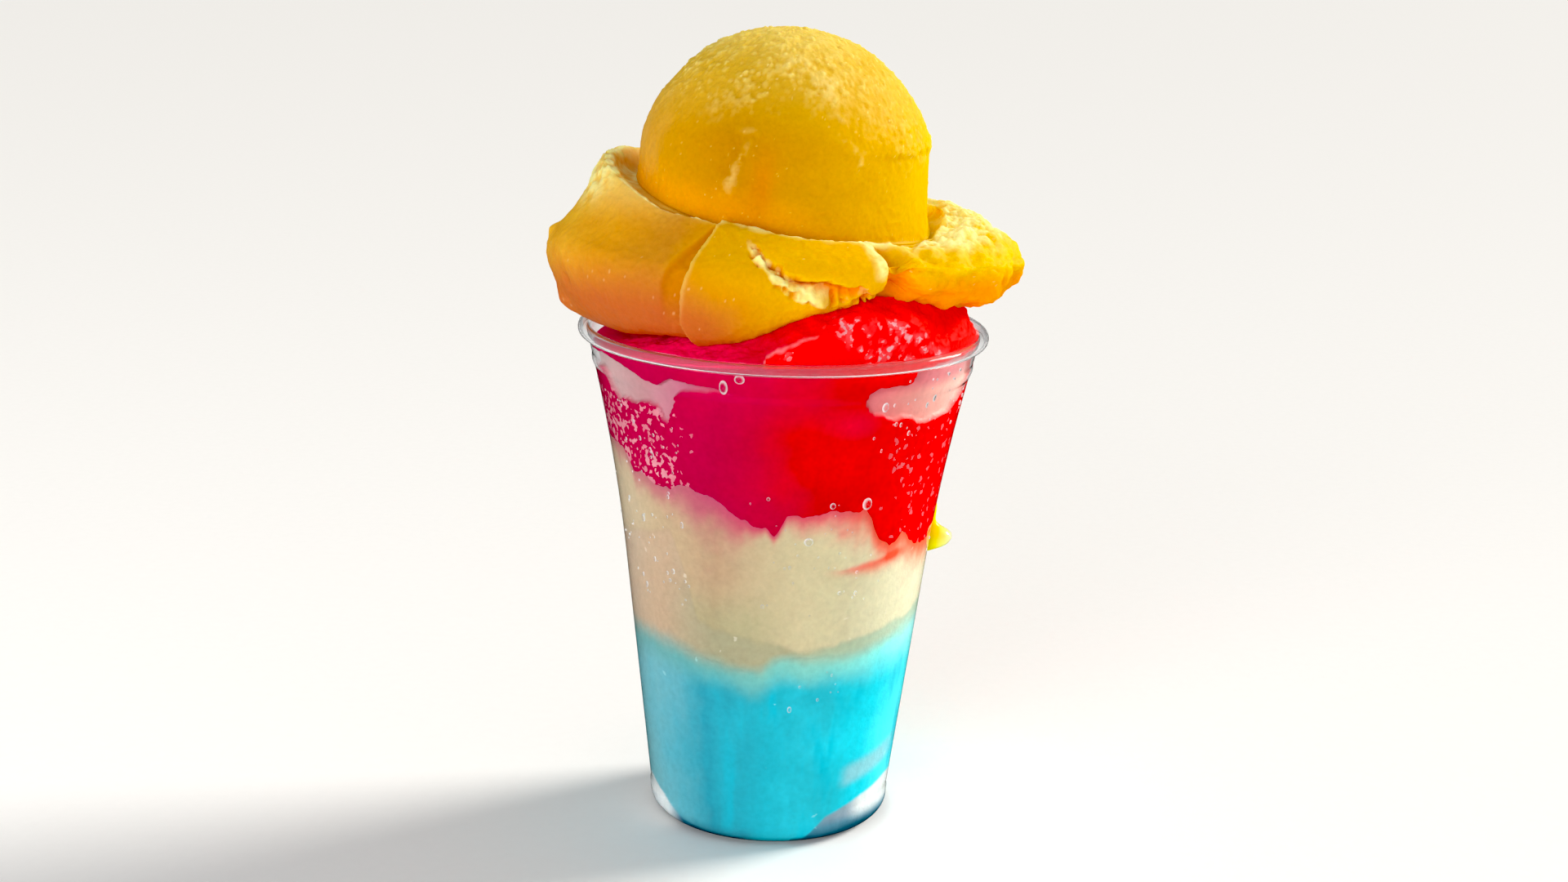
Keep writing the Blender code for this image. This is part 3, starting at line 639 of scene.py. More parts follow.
# Red by facing: the crimson left is partly the syrup's tone, and the clear bright right is painted light of
# the sun behind
RED_STOPS = ((-1.0, "#c81c54"), (-0.75, "#bc064c"), (-0.4, "#b40044"), (-0.05, "#be003a"), (0.2, "#d40020"),
             (0.5, "#f00004"), (1.0, "#ff0a16"))
HEAP_STOPS = ((-1.0, "#ff1260"), (-0.4, "#ff0c60"), (-0.05, "#dc0636"), (0.15, "#f0061a"), (0.4, "#ff0404"),
              (1.0, "#ff0400"))
HOLLOW_STOPS = ((-1.0, "#cfb0aa"), (-0.75, "#c29494"), (-0.5, "#c07488"), (0.3, "#f0788a"), (0.6, "#f49a92"),
                (1.0, "#ffceba"))
LEFT_HOLLOW_TOP = ((-208, 112.6), (-196, 115.5), (-180, 117), (-148, 117.1), (-138.7, 115.5),
                   (-131, 113.5), (-127.6, 114.4), (-123.4, 115.6), (-116.4, 115.4), (-108.4, 115),
                   (-103, 113.8))
LEFT_HOLLOW_LOW = ((-208, 112.4), (-194, 110.8), (-180, 110), (-158.4, 113.5), (-155.6, 112),
                   (-153.8, 109.5), (-148.3, 107), (-143.3, 108.2), (-138.8, 108.6), (-133.7, 108.6),
                   (-129.5, 108.5), (-128.4, 105.8), (-125.6, 104.9), (-124.0, 108.0), (-122.6, 111.6),
                   (-120.6, 113.1), (-108.9, 114.2), (-103, 113.8))
RIGHT_HOLLOW_TOP = ((-65, 111.8), (-63.8, 114.2), (-59.7, 115.8), (-53.5, 116.1), (-49.7, 116.3),
                    (-48.7, 119), (-20, 119.5), (-9, 118), (-6, 112))
RIGHT_HOLLOW_LOW = ((-65, 111.4), (-62.8, 109.9), (-59.4, 108.8), (-56.7, 107.6), (-53.2, 107.3),
                    (-49.8, 107.7), (-46.7, 107.2), (-43.1, 105.8), (-33.4, 105.6), (-25.1, 106.3),
                    (-20.5, 108.1), (-13, 111), (-6, 112))
HOLLOW_DEPTH = 1.3
CHUNK_CREST = ((-97, 116), (-95.6, 120.4), (-94.7, 123.1), (-90.7, 124.8), (-84.3, 127.9), (-80.8, 128.7),
               (-77.9, 130.7), (-73.1, 132.4), (-68.6, 133), (-60, 130.5), (-53.6, 127), (-40.6, 121.5),
               (-36, 116))  # the front chunk's top edge, over the rim
# Bands of crystals on the heap: lowest and highest point as angle and height, and half width in degrees
CRYSTAL_BANDS = ((-61.5, 121.0, -73.5, 132.0, 4.6), (-39.0, 121.5, -61.0, 131.0, 5.0),
                 (-49.0, 120.0, -62.0, 126.8, 3.2), (-92.0, 122.6, -89.0, 124.6, 2.4))
CHUNK_RADIUS, CHUNK_HALF, CHUNK_POWER = 42.0, 5.0, 2.6  # its crest's radius, and how it rounds off
SHOULDER_IN = 3.5  # the broken shoulder stands this much inside its smooth line
BLUSH = (-66, 107, 9, 4)  # a paler spot: angle, height, half widths in degrees and mm
HEAP_ROWS = 52


def from_the_back(angle):
    """The same angle counted from -270 to 90, so that nothing on the left side ends at a seam."""
    return np.where(angle > 90, angle - 360, angle)


def between(angle, height, low, high, soft):
    """1 between two curves of height over angle and 0 outside them, over a soft edge."""
    bottom = np.interp(angle, *np.array(low).T)
    top = np.interp(angle, *np.array(high).T)
    inside_ends = (angle > low[0][0]) & (angle < low[-1][0])
    return step_up(height - bottom, -soft, soft) * step_up(top - height, -soft, soft) * inside_ends


def hollows(rows, height):
    """1 where the ice stands off the wall, its outline broken by the grain of the ice."""
    wavy = height + 1.3 * layered(rows, 4, 4, 50)
    angle = from_the_back(ice_angles) + 1.6 * layered(rows, 3.5, 4, 51)
    left = between(angle, wavy, LEFT_HOLLOW_LOW, LEFT_HOLLOW_TOP, 0.3) * step_up(-angle, 101, 122) ** 0.8
    right = between(angle, wavy, RIGHT_HOLLOW_LOW, RIGHT_HOLLOW_TOP, 0.3)
    return np.maximum(left, right)


def even_rows(radius, height, count):
    """The same curves from the wall inwards, cut into rows of equal length along each column."""
    length = np.hypot(np.diff(radius, axis=0), np.diff(height, axis=0)).cumsum(axis=0)
    length = np.concatenate([np.zeros((1, length.shape[1])), length]) / length[-1]
    wanted = np.linspace(0, 1, count)[:, None]
    above = np.clip((length[None] <= wanted[:, None]).sum(axis=1), 1, len(length) - 1)
    start, end = (np.take_along_axis(length, above - k, axis=0) for k in (1, 0))
    share = (wanted - start) / np.maximum(end - start, 1e-9)
    picked = []
    for values in (radius, height):
        first, last = (np.take_along_axis(values, above - k, axis=0) for k in (1, 0))
        picked.append(first + (last - first) * share)
    return picked


def red_heap():
    """Rings of the heap's top, from the wall inwards: a broken shoulder, then nearly level.

    Each ring's height falls from the shoulder to the edge by a power of how far out it is, and the
    front chunk is laid over that as a second hump whose crest follows its own outline.
    """
    edge = around(RED_EDGE, ice_angles, 5)
    shoulder = around(RED_SHOULDER_Z, ice_angles, 4)
    shoulder_r = around(RED_SHOULDER_RADIUS, ice_angles, 5) - SHOULDER_IN
    down = np.linspace(0, 1, 90)[:, None] ** 2
    rim = cup_inside(edge) + INTO_WALL
    radius = rim + (shoulder_r - rim) * down
    power = np.log(around(RED_SWELL, ice_angles, 4)) / math.log(0.5)
    height = edge + (shoulder - edge) * down ** power
    crest = np.interp(ice_angles, *np.array(CHUNK_CREST).T)
    out = (radius - CHUNK_RADIUS) / np.where(radius > CHUNK_RADIUS, rim - CHUNK_RADIUS + 0.4, CHUNK_HALF)
    hump = edge - 2 + (crest - edge + 2) * np.clip(1 - np.abs(out) ** CHUNK_POWER, 0, 1)
    height = np.maximum(height, np.where(down > 0, hump, -9))
    radius, height = even_rows(radius, height, HEAP_ROWS)
    share = np.linspace(1, 0, 10)[1:-1, None]
    inner_r = shoulder_r * share
    inner_z = RED_MIDDLE + (np.minimum(shoulder, RED_MIDDLE) - RED_MIDDLE) * share ** 2
    return np.concatenate([radius, inner_r]), np.concatenate([height, inner_z])


def crystal_share(angle, height):
    """Share of crystals on the heap: the sum of soft bands, each along its own slanting line."""
    share = np.zeros(height.shape)
    for low_angle, low_z, high_angle, high_z, half_width in CRYSTAL_BANDS:
        along = (height - low_z) / (high_z - low_z)
        line = low_angle + (high_angle - low_angle) * along
        ends = step_up(along, -0.1, 0.1) * step_up(-along, -1.1, -0.9)
        share += np.exp(-((angle - line) / half_width) ** 2) * ends
    return share


def red_colour(rows, height, heap_start):
    """Crimson at the left to clear red at the right, partly the syrup's own tone and partly painted light,
    and the share of pale crystals.

    The hollows are frosted, and the heap is more crimson behind its front chunk.
    """
    turn = np.cos(np.radians(ice_angles)) + 0 * height
    front = np.clip(turn + 0.25 * layered(rows, 14, 3, 60), -1, 1)
    haze = step_up(height, 103, 112) * step_up(-turn, -0.45, -0.1) * step_up(turn, -0.62, -0.4)
    at, z, half_angle, half_height = BLUSH
    blush = np.exp(-((ice_angles - at) / half_angle) ** 2 - ((height - z) / half_height) ** 2)
    colour = washed(stops(front, RED_STOPS), (("#d81048", 0.25 * haze), ("#f02850", 0.5 * blush)))
    colour *= (1 + 0.12 * layered(rows, 9, 4, 61))[..., None]
    on_heap = np.arange(len(rows))[:, None] >= heap_start
    crest = np.interp(ice_angles, *np.array(CHUNK_CREST).T, left=0, right=0)
    rough_edge = 0.5 * layered(rows, 2.5, 3, 63)
    on_chunk = step_up(crest - height + rough_edge, 0.1, 0.6)
    heap = mix(stops(front, HEAP_STOPS), linear("#ff0404"), on_chunk)
    ridge = np.exp(-((crest - height + rough_edge - 0.5) / 0.35) ** 2) * step_up(-ice_angles, 76, 84)
    ridge *= step_up(layered(rows, 2, 2, 64), -0.5, 0.3)
    lacy = step_up(layered(rows, 1.6, 3, 77), -0.3, 0.4) * np.clip(crystal_share(ice_angles, height), 0, 1)
    heap = washed(heap, (("#ff9aa4", 0.6 * ridge), ("#ff7078", 0.65 * lacy)))
    colour = np.where(on_heap[..., None], heap, colour)
    pale = hollows(rows, height) * ~on_heap
    frost_tone = stops(turn, HOLLOW_STOPS) * (1 + 0.12 * layered(rows, 6, 3, 62))[..., None]
    pink = step_up(turn, 0, 0.3) * step_up(height, 112, 116)
    frost_tone = washed(frost_tone, (("#e4607a", 0.6 * pink),))
    colour = mix(colour, frost_tone, 0.93 * pale)
    at_left = from_the_back(ice_angles) - 5 * layered(rows, 6, 3, 71)
    left_rough = step_up(-at_left, 114, 134) * step_up(at_left, -222, -188)
    left_rough *= step_up(height, 86, 91) * step_up(-height, -112, -106)
    right_rough = step_up(ice_angles, -58, -44) * step_up(-ice_angles, -8, 4) * step_up(-height, -109, -104)
    thick = 1 + 0.9 * layered(rows, 5, 3, 70)
    fleck = (0.34 * left_rough + 0.08 * right_rough) * thick * (1 - pale) * ~on_heap
    fleck += 0.6 * lacy * on_heap
    frost = np.clip(0.3 + 0.4 * on_heap + 0.5 * fleck + 0.2 * pale, 0, 1)
    return np.concatenate([colour, frost[..., None]], axis=-1), np.clip(fleck, 0, 1)


heap_radius, heap_height = red_heap()
red_side = side(cream_top[1][-1], around(RED_EDGE, ice_angles, 5), 112)
red_radius = np.concatenate([cream_top[0], red_side[0], heap_radius])
red_height = np.concatenate([cream_top[1], red_side[1], heap_height])
heap_start = len(cream_top[0]) + len(red_side[0])
red_rows = rings(ice_angles, red_radius, red_height)
red_tint, red_fleck = red_colour(red_rows, red_height, heap_start)
red_normal = outward(red_rows)
dip = HOLLOW_DEPTH * hollows(red_rows, red_height)
dip[:len(cream_top[0])] = 0
dip[heap_start:] = 0
lumpy = np.zeros(red_height.shape)
lumpy[heap_start + 1:] = 1
lumpy *= step_up(red_height, 118, 122) * step_up(np.hypot(red_rows[..., 0], red_rows[..., 1]), 30, 36)
rough = 1.5 * layered(red_rows, 6, 5, 80) + 0.5 * layered(red_rows, 1.6, 2, 81) * red_tint[..., 3]
red_rows = red_rows + red_normal * (lumpy * rough - dip)[..., None]
reach = np.hypot(red_rows[..., 0], red_rows[..., 1])
limit = cup_inside(np.minimum(red_rows[..., 2], CUP_HEIGHT - 4.5)) + INTO_WALL
red_rows[..., :2] *= np.minimum(1, limit / np.maximum(reach, 1e-6))[..., None]
red = closed_skin("red_ice_broken", (0, 0, CREAM_TOP_MIDDLE), red_rows, (0, 0, RED_MIDDLE),
                  syrup_ice("red_syrup_ice", 0.3, "#eaaab2", 1.0), red_tint, red_fleck)
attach(red, "root")
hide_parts("red_ice")


# Sorbet ball: mango sorbet pressed into a spherical scoop and turned out. Its top and its right
# side froze to coarse pale crystals, and the scoop's blade left a ledge, scars and a dent.
BALL_X, BALL_RADIUS, BALL_EQUATOR, BALL_RISE = -0.9, 34.7, 162.0, 30.0
SHOULDER_SLIP = 0.04
SKIRT_RADIUS = 35.0
BALL_COLUMNS = 560
CREASE_Z = ((180, 156.5), (-150, 154), (-119, 150.3), (-90, 148), (-55, 146), (-20, 144.3),
            (20, 146), (45, 148), (90, 151), (135, 154.5))
# Ball by facing: orange in front and bright yellow at the right, painted light of the sun shining through
# from behind
BALL_STOPS = ((-1.0, "#e0a848"), (-0.8, "#d09620"), (-0.3, "#be8200"), (0.1, "#d09800"), (0.5, "#e0aa00"),
              (0.8, "#e4b200"), (1.0, "#e8c000"))
# Scars of the blade: angle, height, half width and half height in mm, lean to the right per mm of
# height, how far they stand out, paleness; a negative paleness is painted shade in a groove
SCARS = ((-107.0, 164.5, 1.1, 4.0, 0.45, 0.3, 0.35), (-98.5, 158.5, 2.8, 7.0, 0.1, -0.8, -0.7),
         (-64.5, 168.0, 1.5, 2.2, -0.9, 0.35, 0.4), (-60.5, 164.5, 0.9, 2.0, 0.4, 0.3, 0.4),
         (-110.5, 159.5, 1.9, 2.6, 0.3, 0.15, 0.3), (-104.0, 171.0, 2.4, 0.9, 0, 0.15, 0.2),
         (-70.0, 180.5, 2.6, 2.2, 0, 0.3, 0.6), (-84.0, 185.0, 2.6, 2.0, 0, 0.3, 0.6),
         (-66.0, 174.5, 1.8, 1.0, 0, 0.25, 0.5))
LEDGE_HEIGHT, LEDGE = 165.0, 0.7  # the step that the blade left round the right side


def mango_sorbet(name):
    """Fruit sorbet: fine ice in fruit pulp, satin and translucent, so that light glows through it.

    Grain of about 0.7 mm stands in for ice of a tenth of that. The tint's fourth value is frost,
    which is rougher and has a deeper grain.
    """
    made, tree = finish_named(name)
    place = add(tree, "ShaderNodeTexCoord", {}, {})
    tint = add(tree, "ShaderNodeAttribute", {"attribute_name": "Tint"}, {})
    fine = add(tree, "ShaderNodeTexNoise", {}, {"Vector": place.outputs["Object"], "Scale": 1 / (0.9 * MM),
                                                "Detail": 4.0, "Roughness": 0.65})
    flakes = add(tree, "ShaderNodeTexVoronoi", {}, {"Vector": place.outputs["Object"],
                                                    "Scale": 1 / (0.7 * MM)})
    shade = add(tree, "ShaderNodeMapRange", {}, {"Value": fine.outputs["Fac"], "From Min": 0.3,
                                                 "From Max": 0.7, "To Min": 0.95, "To Max": 1.05})
    colour = add(tree, "ShaderNodeVectorMath", {"operation": "SCALE"},
                 {0: tint.outputs["Color"], "Scale": shade.outputs["Result"]})
    rough = add(tree, "ShaderNodeMapRange", {}, {"Value": tint.outputs["Alpha"], "To Min": 0.46,
                                                 "To Max": 0.62})
    height = add(tree, "ShaderNodeMath", {"operation": "MULTIPLY_ADD"},
                 {0: flakes.outputs["Distance"], 1: tint.outputs["Alpha"], 2: fine.outputs["Fac"]})
    bump = add(tree, "ShaderNodeBump", {}, {"Height": height.outputs["Value"], "Strength": 0.3,
                                            "Distance": 0.3 * MM})
    pulp = add(tree, "ShaderNodeBsdfPrincipled", {},
               {"Base Color": colour.outputs["Vector"], "Roughness": rough.outputs["Result"], "IOR": 1.36,
                "Subsurface Weight": 0.5, "Subsurface Radius": (1.0, 0.62, 0.2), "Subsurface Scale": 5 * MM,
                "Specular IOR Level": 0.1, "Normal": bump.outputs["Normal"]})
    add(tree, "ShaderNodeOutputMaterial", {}, {"Surface": pulp.outputs["BSDF"]})
    return made


def ball_outline(angle):
    """Rings of the ball: a flattened dome to the equator, then its side down into the collar."""
    turn = np.radians(np.linspace(0.8, 90, 110))[:, None]
    lean = 1 - SHOULDER_SLIP * np.sin(2 * turn) ** 2
    flat = np.zeros_like(angle)
    crease = around(CREASE_Z, angle)
    share = np.linspace(0, 1, 48)[1:, None]
    under = np.array([(34.2, -1.5), (33.0, -3.0), (30.0, -4.5), (20.0, -5.5), (8.0, -6.0)])
    radius = np.concatenate([BALL_RADIUS * np.sin(turn) * lean + flat,
                             BALL_RADIUS + (SKIRT_RADIUS - BALL_RADIUS) * share + flat,
                             under[:, :1] + flat])
    height = np.concatenate([BALL_EQUATOR + BALL_RISE * np.cos(turn) + flat,
                             BALL_EQUATOR + (crease - BALL_EQUATOR) * share, crease + under[:, 1:]])
    return radius, height


def scar_field(angle, height, radius):
    """Sum of the scars' relief, and of their paleness, negative where a groove is painted in shade, each a
    soft spot on the ball's side.
    """
    relief, pale = np.zeros(height.shape), np.zeros(height.shape)
    for at, z, half_width, half_height, lean, rise, tone in SCARS:
        across = (np.radians(angle - at) * radius - lean * (height - z)) / half_width
        spot = np.exp(-across ** 2 - ((height - z) / half_height) ** 2)
        relief += rise * spot
        pale += tone * spot
    return relief, pale


ball_angles = spread(BALL_COLUMNS)
ball_radius, ball_height = ball_outline(ball_angles)
ball_rows = rings(ball_angles, ball_radius, ball_height, BALL_X)
facing_right = np.cos(np.radians(ball_angles))
wander = layered(ball_rows, 9, 3, 101)
crusty = np.clip(step_up(ball_height + 5 * wander, 172, 184)
                 + step_up(facing_right + 0.3 * wander, 0.55, 0.85) * step_up(ball_height, 158, 168), 0, 1)
visible = step_up(ball_height - around(CREASE_Z, ball_angles), -1, 1)
coarse = layered(ball_rows, 1.7, 3, 102)
pits, pit_number = crumbs(ball_rows, 1.5, 103)
scar_relief, scar_pale_and_shade = scar_field(ball_angles, ball_height, ball_radius)
ledge = LEDGE * (step_up(ball_height + 1.2 * coarse, LEDGE_HEIGHT - 1, LEDGE_HEIGHT + 1) - 1)
ledge = ledge * step_up(facing_right, 0.45, 0.8) * step_up(ball_height, 143, 150)
ball_relief = ((0.12 + 0.34 * crusty) * coarse + 0.12 * grain(ball_rows, 0.9, 104)
               + 0.3 * crusty * (pit_number < 0.4) * step_up(-pits, -0.5, -0.1)
               + 0.3 * wander + scar_relief + ledge - 0.55)
flake = crusty * (0.6 * step_up(coarse + 0.7 * wander, 0, 0.6)
                  + 0.5 * (pit_number < 0.3) * step_up(-pits, -0.6, -0.3))
flake *= 1 - 0.45 * step_up(facing_right, 0.3, 0.8)
speck, speck_number = crumbs(ball_rows, 1.1, 110)
# Tiny pale specks: painted glints of crystals
painted_glint = (speck < 0.24) * (speck_number < 0.1) * (0.35 + 0.65 * crusty)
ball_colour = stops(np.clip(facing_right + 0.15 * wander, -1, 1), BALL_STOPS)
# Orange low on the front and left, by the collar: painted shade
low = step_up(-(ball_height - around(CREASE_Z, ball_angles)) + 3 * wander, -11, -1)
ball_colour = washed(ball_colour, (
    # A paler top: partly its frost, partly painted light from above
    ("#e4ba3c", 0.8 * step_up(ball_height, 166, 186)),
    ("#f2d468", 0.7 * step_up(ball_height + 2 * wander, 184, 191.5)),
    ("#f4a000", 0.7 * low * step_up(-facing_right, -0.6, 0.4)),
    ("#fae488", np.clip(0.55 * flake + 0.6 * painted_glint, 0, 0.9)),
    ("#f7dc86", np.clip(scar_pale_and_shade, 0, 1) * np.clip(0.6 + 1.6 * coarse, 0, 1)),
    # Dark where the paleness is negative: painted shade in a groove
    ("#d98600", np.clip(-scar_pale_and_shade, 0, 1))))
ball_frost = np.clip(0.2 + 0.6 * crusty, 0, 1)
ball_tint = np.concatenate([ball_colour, ball_frost[..., None]], axis=-1)
ball_rows = ball_rows + outward(ball_rows) * (visible * ball_relief)[..., None]
mango = mango_sorbet("mango_fruit_sorbet")
ball = closed_skin("mango_ball", (BALL_X, 0, ball_rows[0, :, 2].mean()), ball_rows,
                   (BALL_X, 0, ball_rows[-1, :, 2].mean()), mango, ball_tint)
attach(ball, "root")
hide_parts("mango_scoop")


# Sorbet collar: what the scoop dragged up around the ball, folded over the rim. A smooth lobe on the
# left passes under a flap in front, a torn band slants below the lip, and a rough lump ends it.
LIP_Z = ((180, 160.6), (-165, 158.8), (-135, 152.6), (-90, 149.2), (-40, 147), (0, 150.5), (45, 151.5),
         (90, 154), (135, 159), (160, 161))
LIP_INNER = ((180, 39.5), (-150, 36.8), (-119, 35.6), (-55, 35.6), (0, 37), (45, 36.5), (90, 37),
             (135, 38.5))
LIP_OUTER = ((180, 44), (-150, 41), (-119, 38.5), (-75, 39), (-55, 40), (-40, 43), (-20, 48), (0, 49.5),
             (20, 46), (45, 42), (90, 42), (135, 43))
FULLNESS = ((180, 0.36), (-140, 0.5), (-60, 0.6), (-10, 0.66), (20, 0.66), (90, 0.5), (150, 0.36))
BULGE_RADIUS = ((180, 56.5), (-165, 55), (-150, 52), (-119, 46), (-90, 45), (-55, 45), (-40, 49),
                (-20, 55.5), (0, 58.5), (20, 54.5), (45, 50), (90, 49), (135, 52), (160, 54.5))
BULGE_Z = ((180, 139.5), (-119, 139), (-90, 138.5), (-55, 142), (-20, 139), (0, 137.8), (90, 140),
           (135, 140), (160, 134))
HEM_RADIUS = ((180, 42), (-150, 39), (-90, 38), (-55, 39), (-40, 41), (-20, 44), (0, 44.5), (20, 43),
              (45, 41), (90, 40), (135, 42), (160, 46.5))
HEM_Z = ((180, 121), (-150, 121.8), (-119, 124.6), (-90, 128), (-75, 131.5), (-55, 134), (-40, 132),
         (-20, 129), (0, 126.5), (45, 125), (90, 124), (135, 123.6), (160, 123.6))
UNDERSIDE, COLLAR_MIDDLE = 130.0, 143.0  # where the collar closes below and inside the ball
COLLAR_COLUMNS, COLLAR_ROWS = 600, 164
ROW_SHARES, OUTLINE_SHARES = (0, 0.12, 0.90, 1), (0, 0.30, 0.86, 1)  # rows stand closest on the outside
# Lines on the collar's outside. The first two give angle at a height, the others height at an angle.
LOBE_EDGE = ((125, -125.7), (133, -125.5), (137.7, -124.5), (142.5, -122.4), (145.5, -119.8),
             (148.5, -115.4), (152, -111.2))
FLAP_EDGE = ((124, -118), (126.2, -118.3), (129.2, -119.8), (133.8, -119.1), (138.5, -117.4),
             (142.3, -115.8), (148.9, -112.3), (152, -110.5))
SLAB_EDGE = ((-101, 148), (-96.5, 146), (-94.3, 144.3), (-91.4, 142.9), (-87.9, 141.5), (-82.8, 140.3),
             (-78.8, 140.3), (-75.9, 139.8), (-72.3, 138.7), (-67.5, 139), (-63.6, 137.5), (-58.3, 136.9),
             (-57, 141))
RIDGE = ((-102, 147.5), (-98.7, 144.5), (-95.8, 142), (-92.4, 139.9), (-89.5, 137.8), (-86.6, 135.7),
         (-84, 134.3), (-78, 134.5), (-75, 133))  # crest of the torn edge, left of and below the crevice
FLAP_RISE, LOBE_SINK, TEAR_SINK, SLAB_RISE, RIDGE_RISE = 2.2, 1.6, 1.4, 1.0, 0.9
CLEFT_ANGLE, CLEFT_DEPTH, CLEFT_HALF_WIDTH = -53.5, 4.0, 4.0
LUMP_START, LUMP_END = -58, 30
NUB_RADIUS = 46.0
# Small lumps left on the collar: angle, height, half width in mm and how far they stand out
NUBS = ((-177, 143.5, 1.3, 1.0), (-78, 135.2, 1.8, 1.6), (-172, 127, 3.0, 1.6), (-20, 134, 4.5, 2.2),
        (-38, 141, 5.0, 1.4), (-8, 141, 5.0, 1.2), (-160, 134, 1.2, -0.8))
CREST, CREST_HALF = 0.34, 0.05  # the lip's crumbled crest, in shares of the outline
# Collar by facing: the yellow right is painted light of the sun behind on the right
COLLAR_STOPS = ((-1.0, "#f0b638"), (-0.85, "#de9c28"), (-0.6, "#ca8a2c"), (-0.35, "#dca408"),
                (0.1, "#e6b000"), (0.5, "#e8b000"), (1.0, "#eec600"))
# The torn band turns orange to the right, under the slab: painted shade
TORN_STOPS = ((-92, "#f2b424"), (-84, "#f4a81c"), (-74, "#ff8a1a"))


def touching_curve(points, share):
    """Quadratic B-spline over rows of points, each pushed out so that the curve touches it.

    It is read at the given shares of its way from the first point to the last.
    """
    pushed = points.copy()
    pushed[1:-1] += (2 * points[1:-1] - points[:-2] - points[2:]) / 6
    place = share * (len(pushed) - 2)
    start = place.astype(int)
    t = (place - start)[:, None, None]
    return ((1 - t) ** 2 / 2 * pushed[start] + (0.5 + t - t * t) * pushed[start + 1]
            + t * t / 2 * pushed[start + 2])


def collar_outline(angle, share):
    """Rings of the collar: out of the ball's crease, over the lip, down the outside and in below."""
    flat = np.zeros_like(angle)
    crease = around(CREASE_Z, angle)
    lip_in, lip_out, lip_z = around(LIP_INNER, angle), around(LIP_OUTER, angle), around(LIP_Z, angle)
    bulge, bulge_z = around(BULGE_RADIUS, angle), around(BULGE_Z, angle)
    hem, hem_z = around(HEM_RADIUS, angle), around(HEM_Z, angle)
    outline = [(flat + 31, crease - 1),
               (flat + 33.5, crease - 0.3),
               (SKIRT_RADIUS + 0.55 * (lip_in - SKIRT_RADIUS) + 0.3, crease),
               (lip_in + 0.5, lip_z - 0.6),
               (0.5 * (lip_in + lip_out) + 0.4, lip_z),
               (lip_out, lip_z - 1.2),
               (lip_out + around(FULLNESS, angle) * (bulge - lip_out), 0.5 * (lip_z + bulge_z)),
               (bulge, bulge_z),
               (bulge - 0.42 * (bulge - hem), hem_z + 0.25 * (bulge_z - hem_z)),
               (hem, hem_z),
               (hem - 5, hem_z + 0.25 * (UNDERSIDE - hem_z)),
               (flat + 24, flat + UNDERSIDE)]
    curve = touching_curve(np.moveaxis(np.array(outline), 1, 2), share)
    return curve[..., 0], curve[..., 1]


def collar_marks(angle, height, rows):
    """Relief of the fold, flap, tear, slab, cleft and nubs, and where those that are coloured lie.

    The flap stands out right of its edge and dies away towards the tear. Between the lobe's edge
    and the flap's, the surface is sunk. The tear lies between the slab's lower edge, which hangs
    over a thin crevice, and a raised ridge of crumbs.
    """
    jag = layered(rows, 2.4, 4, 120)
    lumps, _ = crumbs(rows, 2.8, 121)
    flap_line = np.interp(height, *np.array(FLAP_EDGE).T) + 0.7 * jag
    lobe_line = np.interp(height, *np.array(LOBE_EDGE).T)
    right_of_flap = step_up(angle - flap_line, -0.5, 0.5)
    flap = FLAP_RISE * right_of_flap * step_up(-angle, 84, 104)
    sunk = step_up(angle - lobe_line, -1.0, 1.6) * (1 - right_of_flap)
    sunk = LOBE_SINK * sunk * step_up(height, 124, 142)
    slab_line = np.interp(angle, *np.array(SLAB_EDGE).T) + 1.3 * jag
    ridge_line = np.interp(angle, *np.array(RIDGE).T) + 1.5 * jag
    in_front = step_up(angle, -102, -97) * step_up(-angle, 55, 58)
    above = step_up(height - slab_line, -0.8, 0.4)
    over_ridge = height - ridge_line
    chunks = step_up(layered(rows, 3.6, 3, 122) + 0.5 * jag, -0.45, 0.0)
    gaps = (1 - chunks) * step_up(over_ridge, -0.8, 0.6)
    torn = in_front * (1 - above) * np.maximum(step_up(over_ridge, 1.8, 4.2), gaps)
    ridge = in_front * step_up(over_ridge, -0.6, 0.8) * step_up(-over_ridge, -5.5, -3.5) * (1 - above)
    ridge *= chunks * step_up(-angle + 3 * jag, 73, 84)
    crevice = in_front * np.exp(-((height - slab_line + 0.8) / 0.7) ** 2) * step_up(-angle, 62, 72)
    slab = SLAB_RISE * in_front * above * step_up(-height, -148, -143)
    cleft = np.exp(-((angle - CLEFT_ANGLE - 1.5 * jag) / CLEFT_HALF_WIDTH) ** 2)
    slab_end = np.exp(-((angle + 60 + jag) / 2.2) ** 2) * step_up(height, 139, 142)
    relief = (flap - sunk + slab - TEAR_SINK * torn + RIDGE_RISE * ridge - CLEFT_DEPTH * cleft
              - 0.8 * crevice + np.maximum(torn, ridge) * (0.9 - 1.8 * np.minimum(lumps, 0.9)))
    for at, z, half_width, rise in NUBS:
        across = (angle - at + 180) % 360 - 180
        off = np.hypot(np.radians(across) * NUB_RADIUS, height - z) / half_width
        relief = relief + rise * np.exp(-off ** 2)
    flap_edge_highlight = np.exp(-((angle - flap_line - 0.9) / 0.7) ** 2)
    return relief, torn, ridge + slab_end, crevice, cleft, sunk / LOBE_SINK, flap_edge_highlight


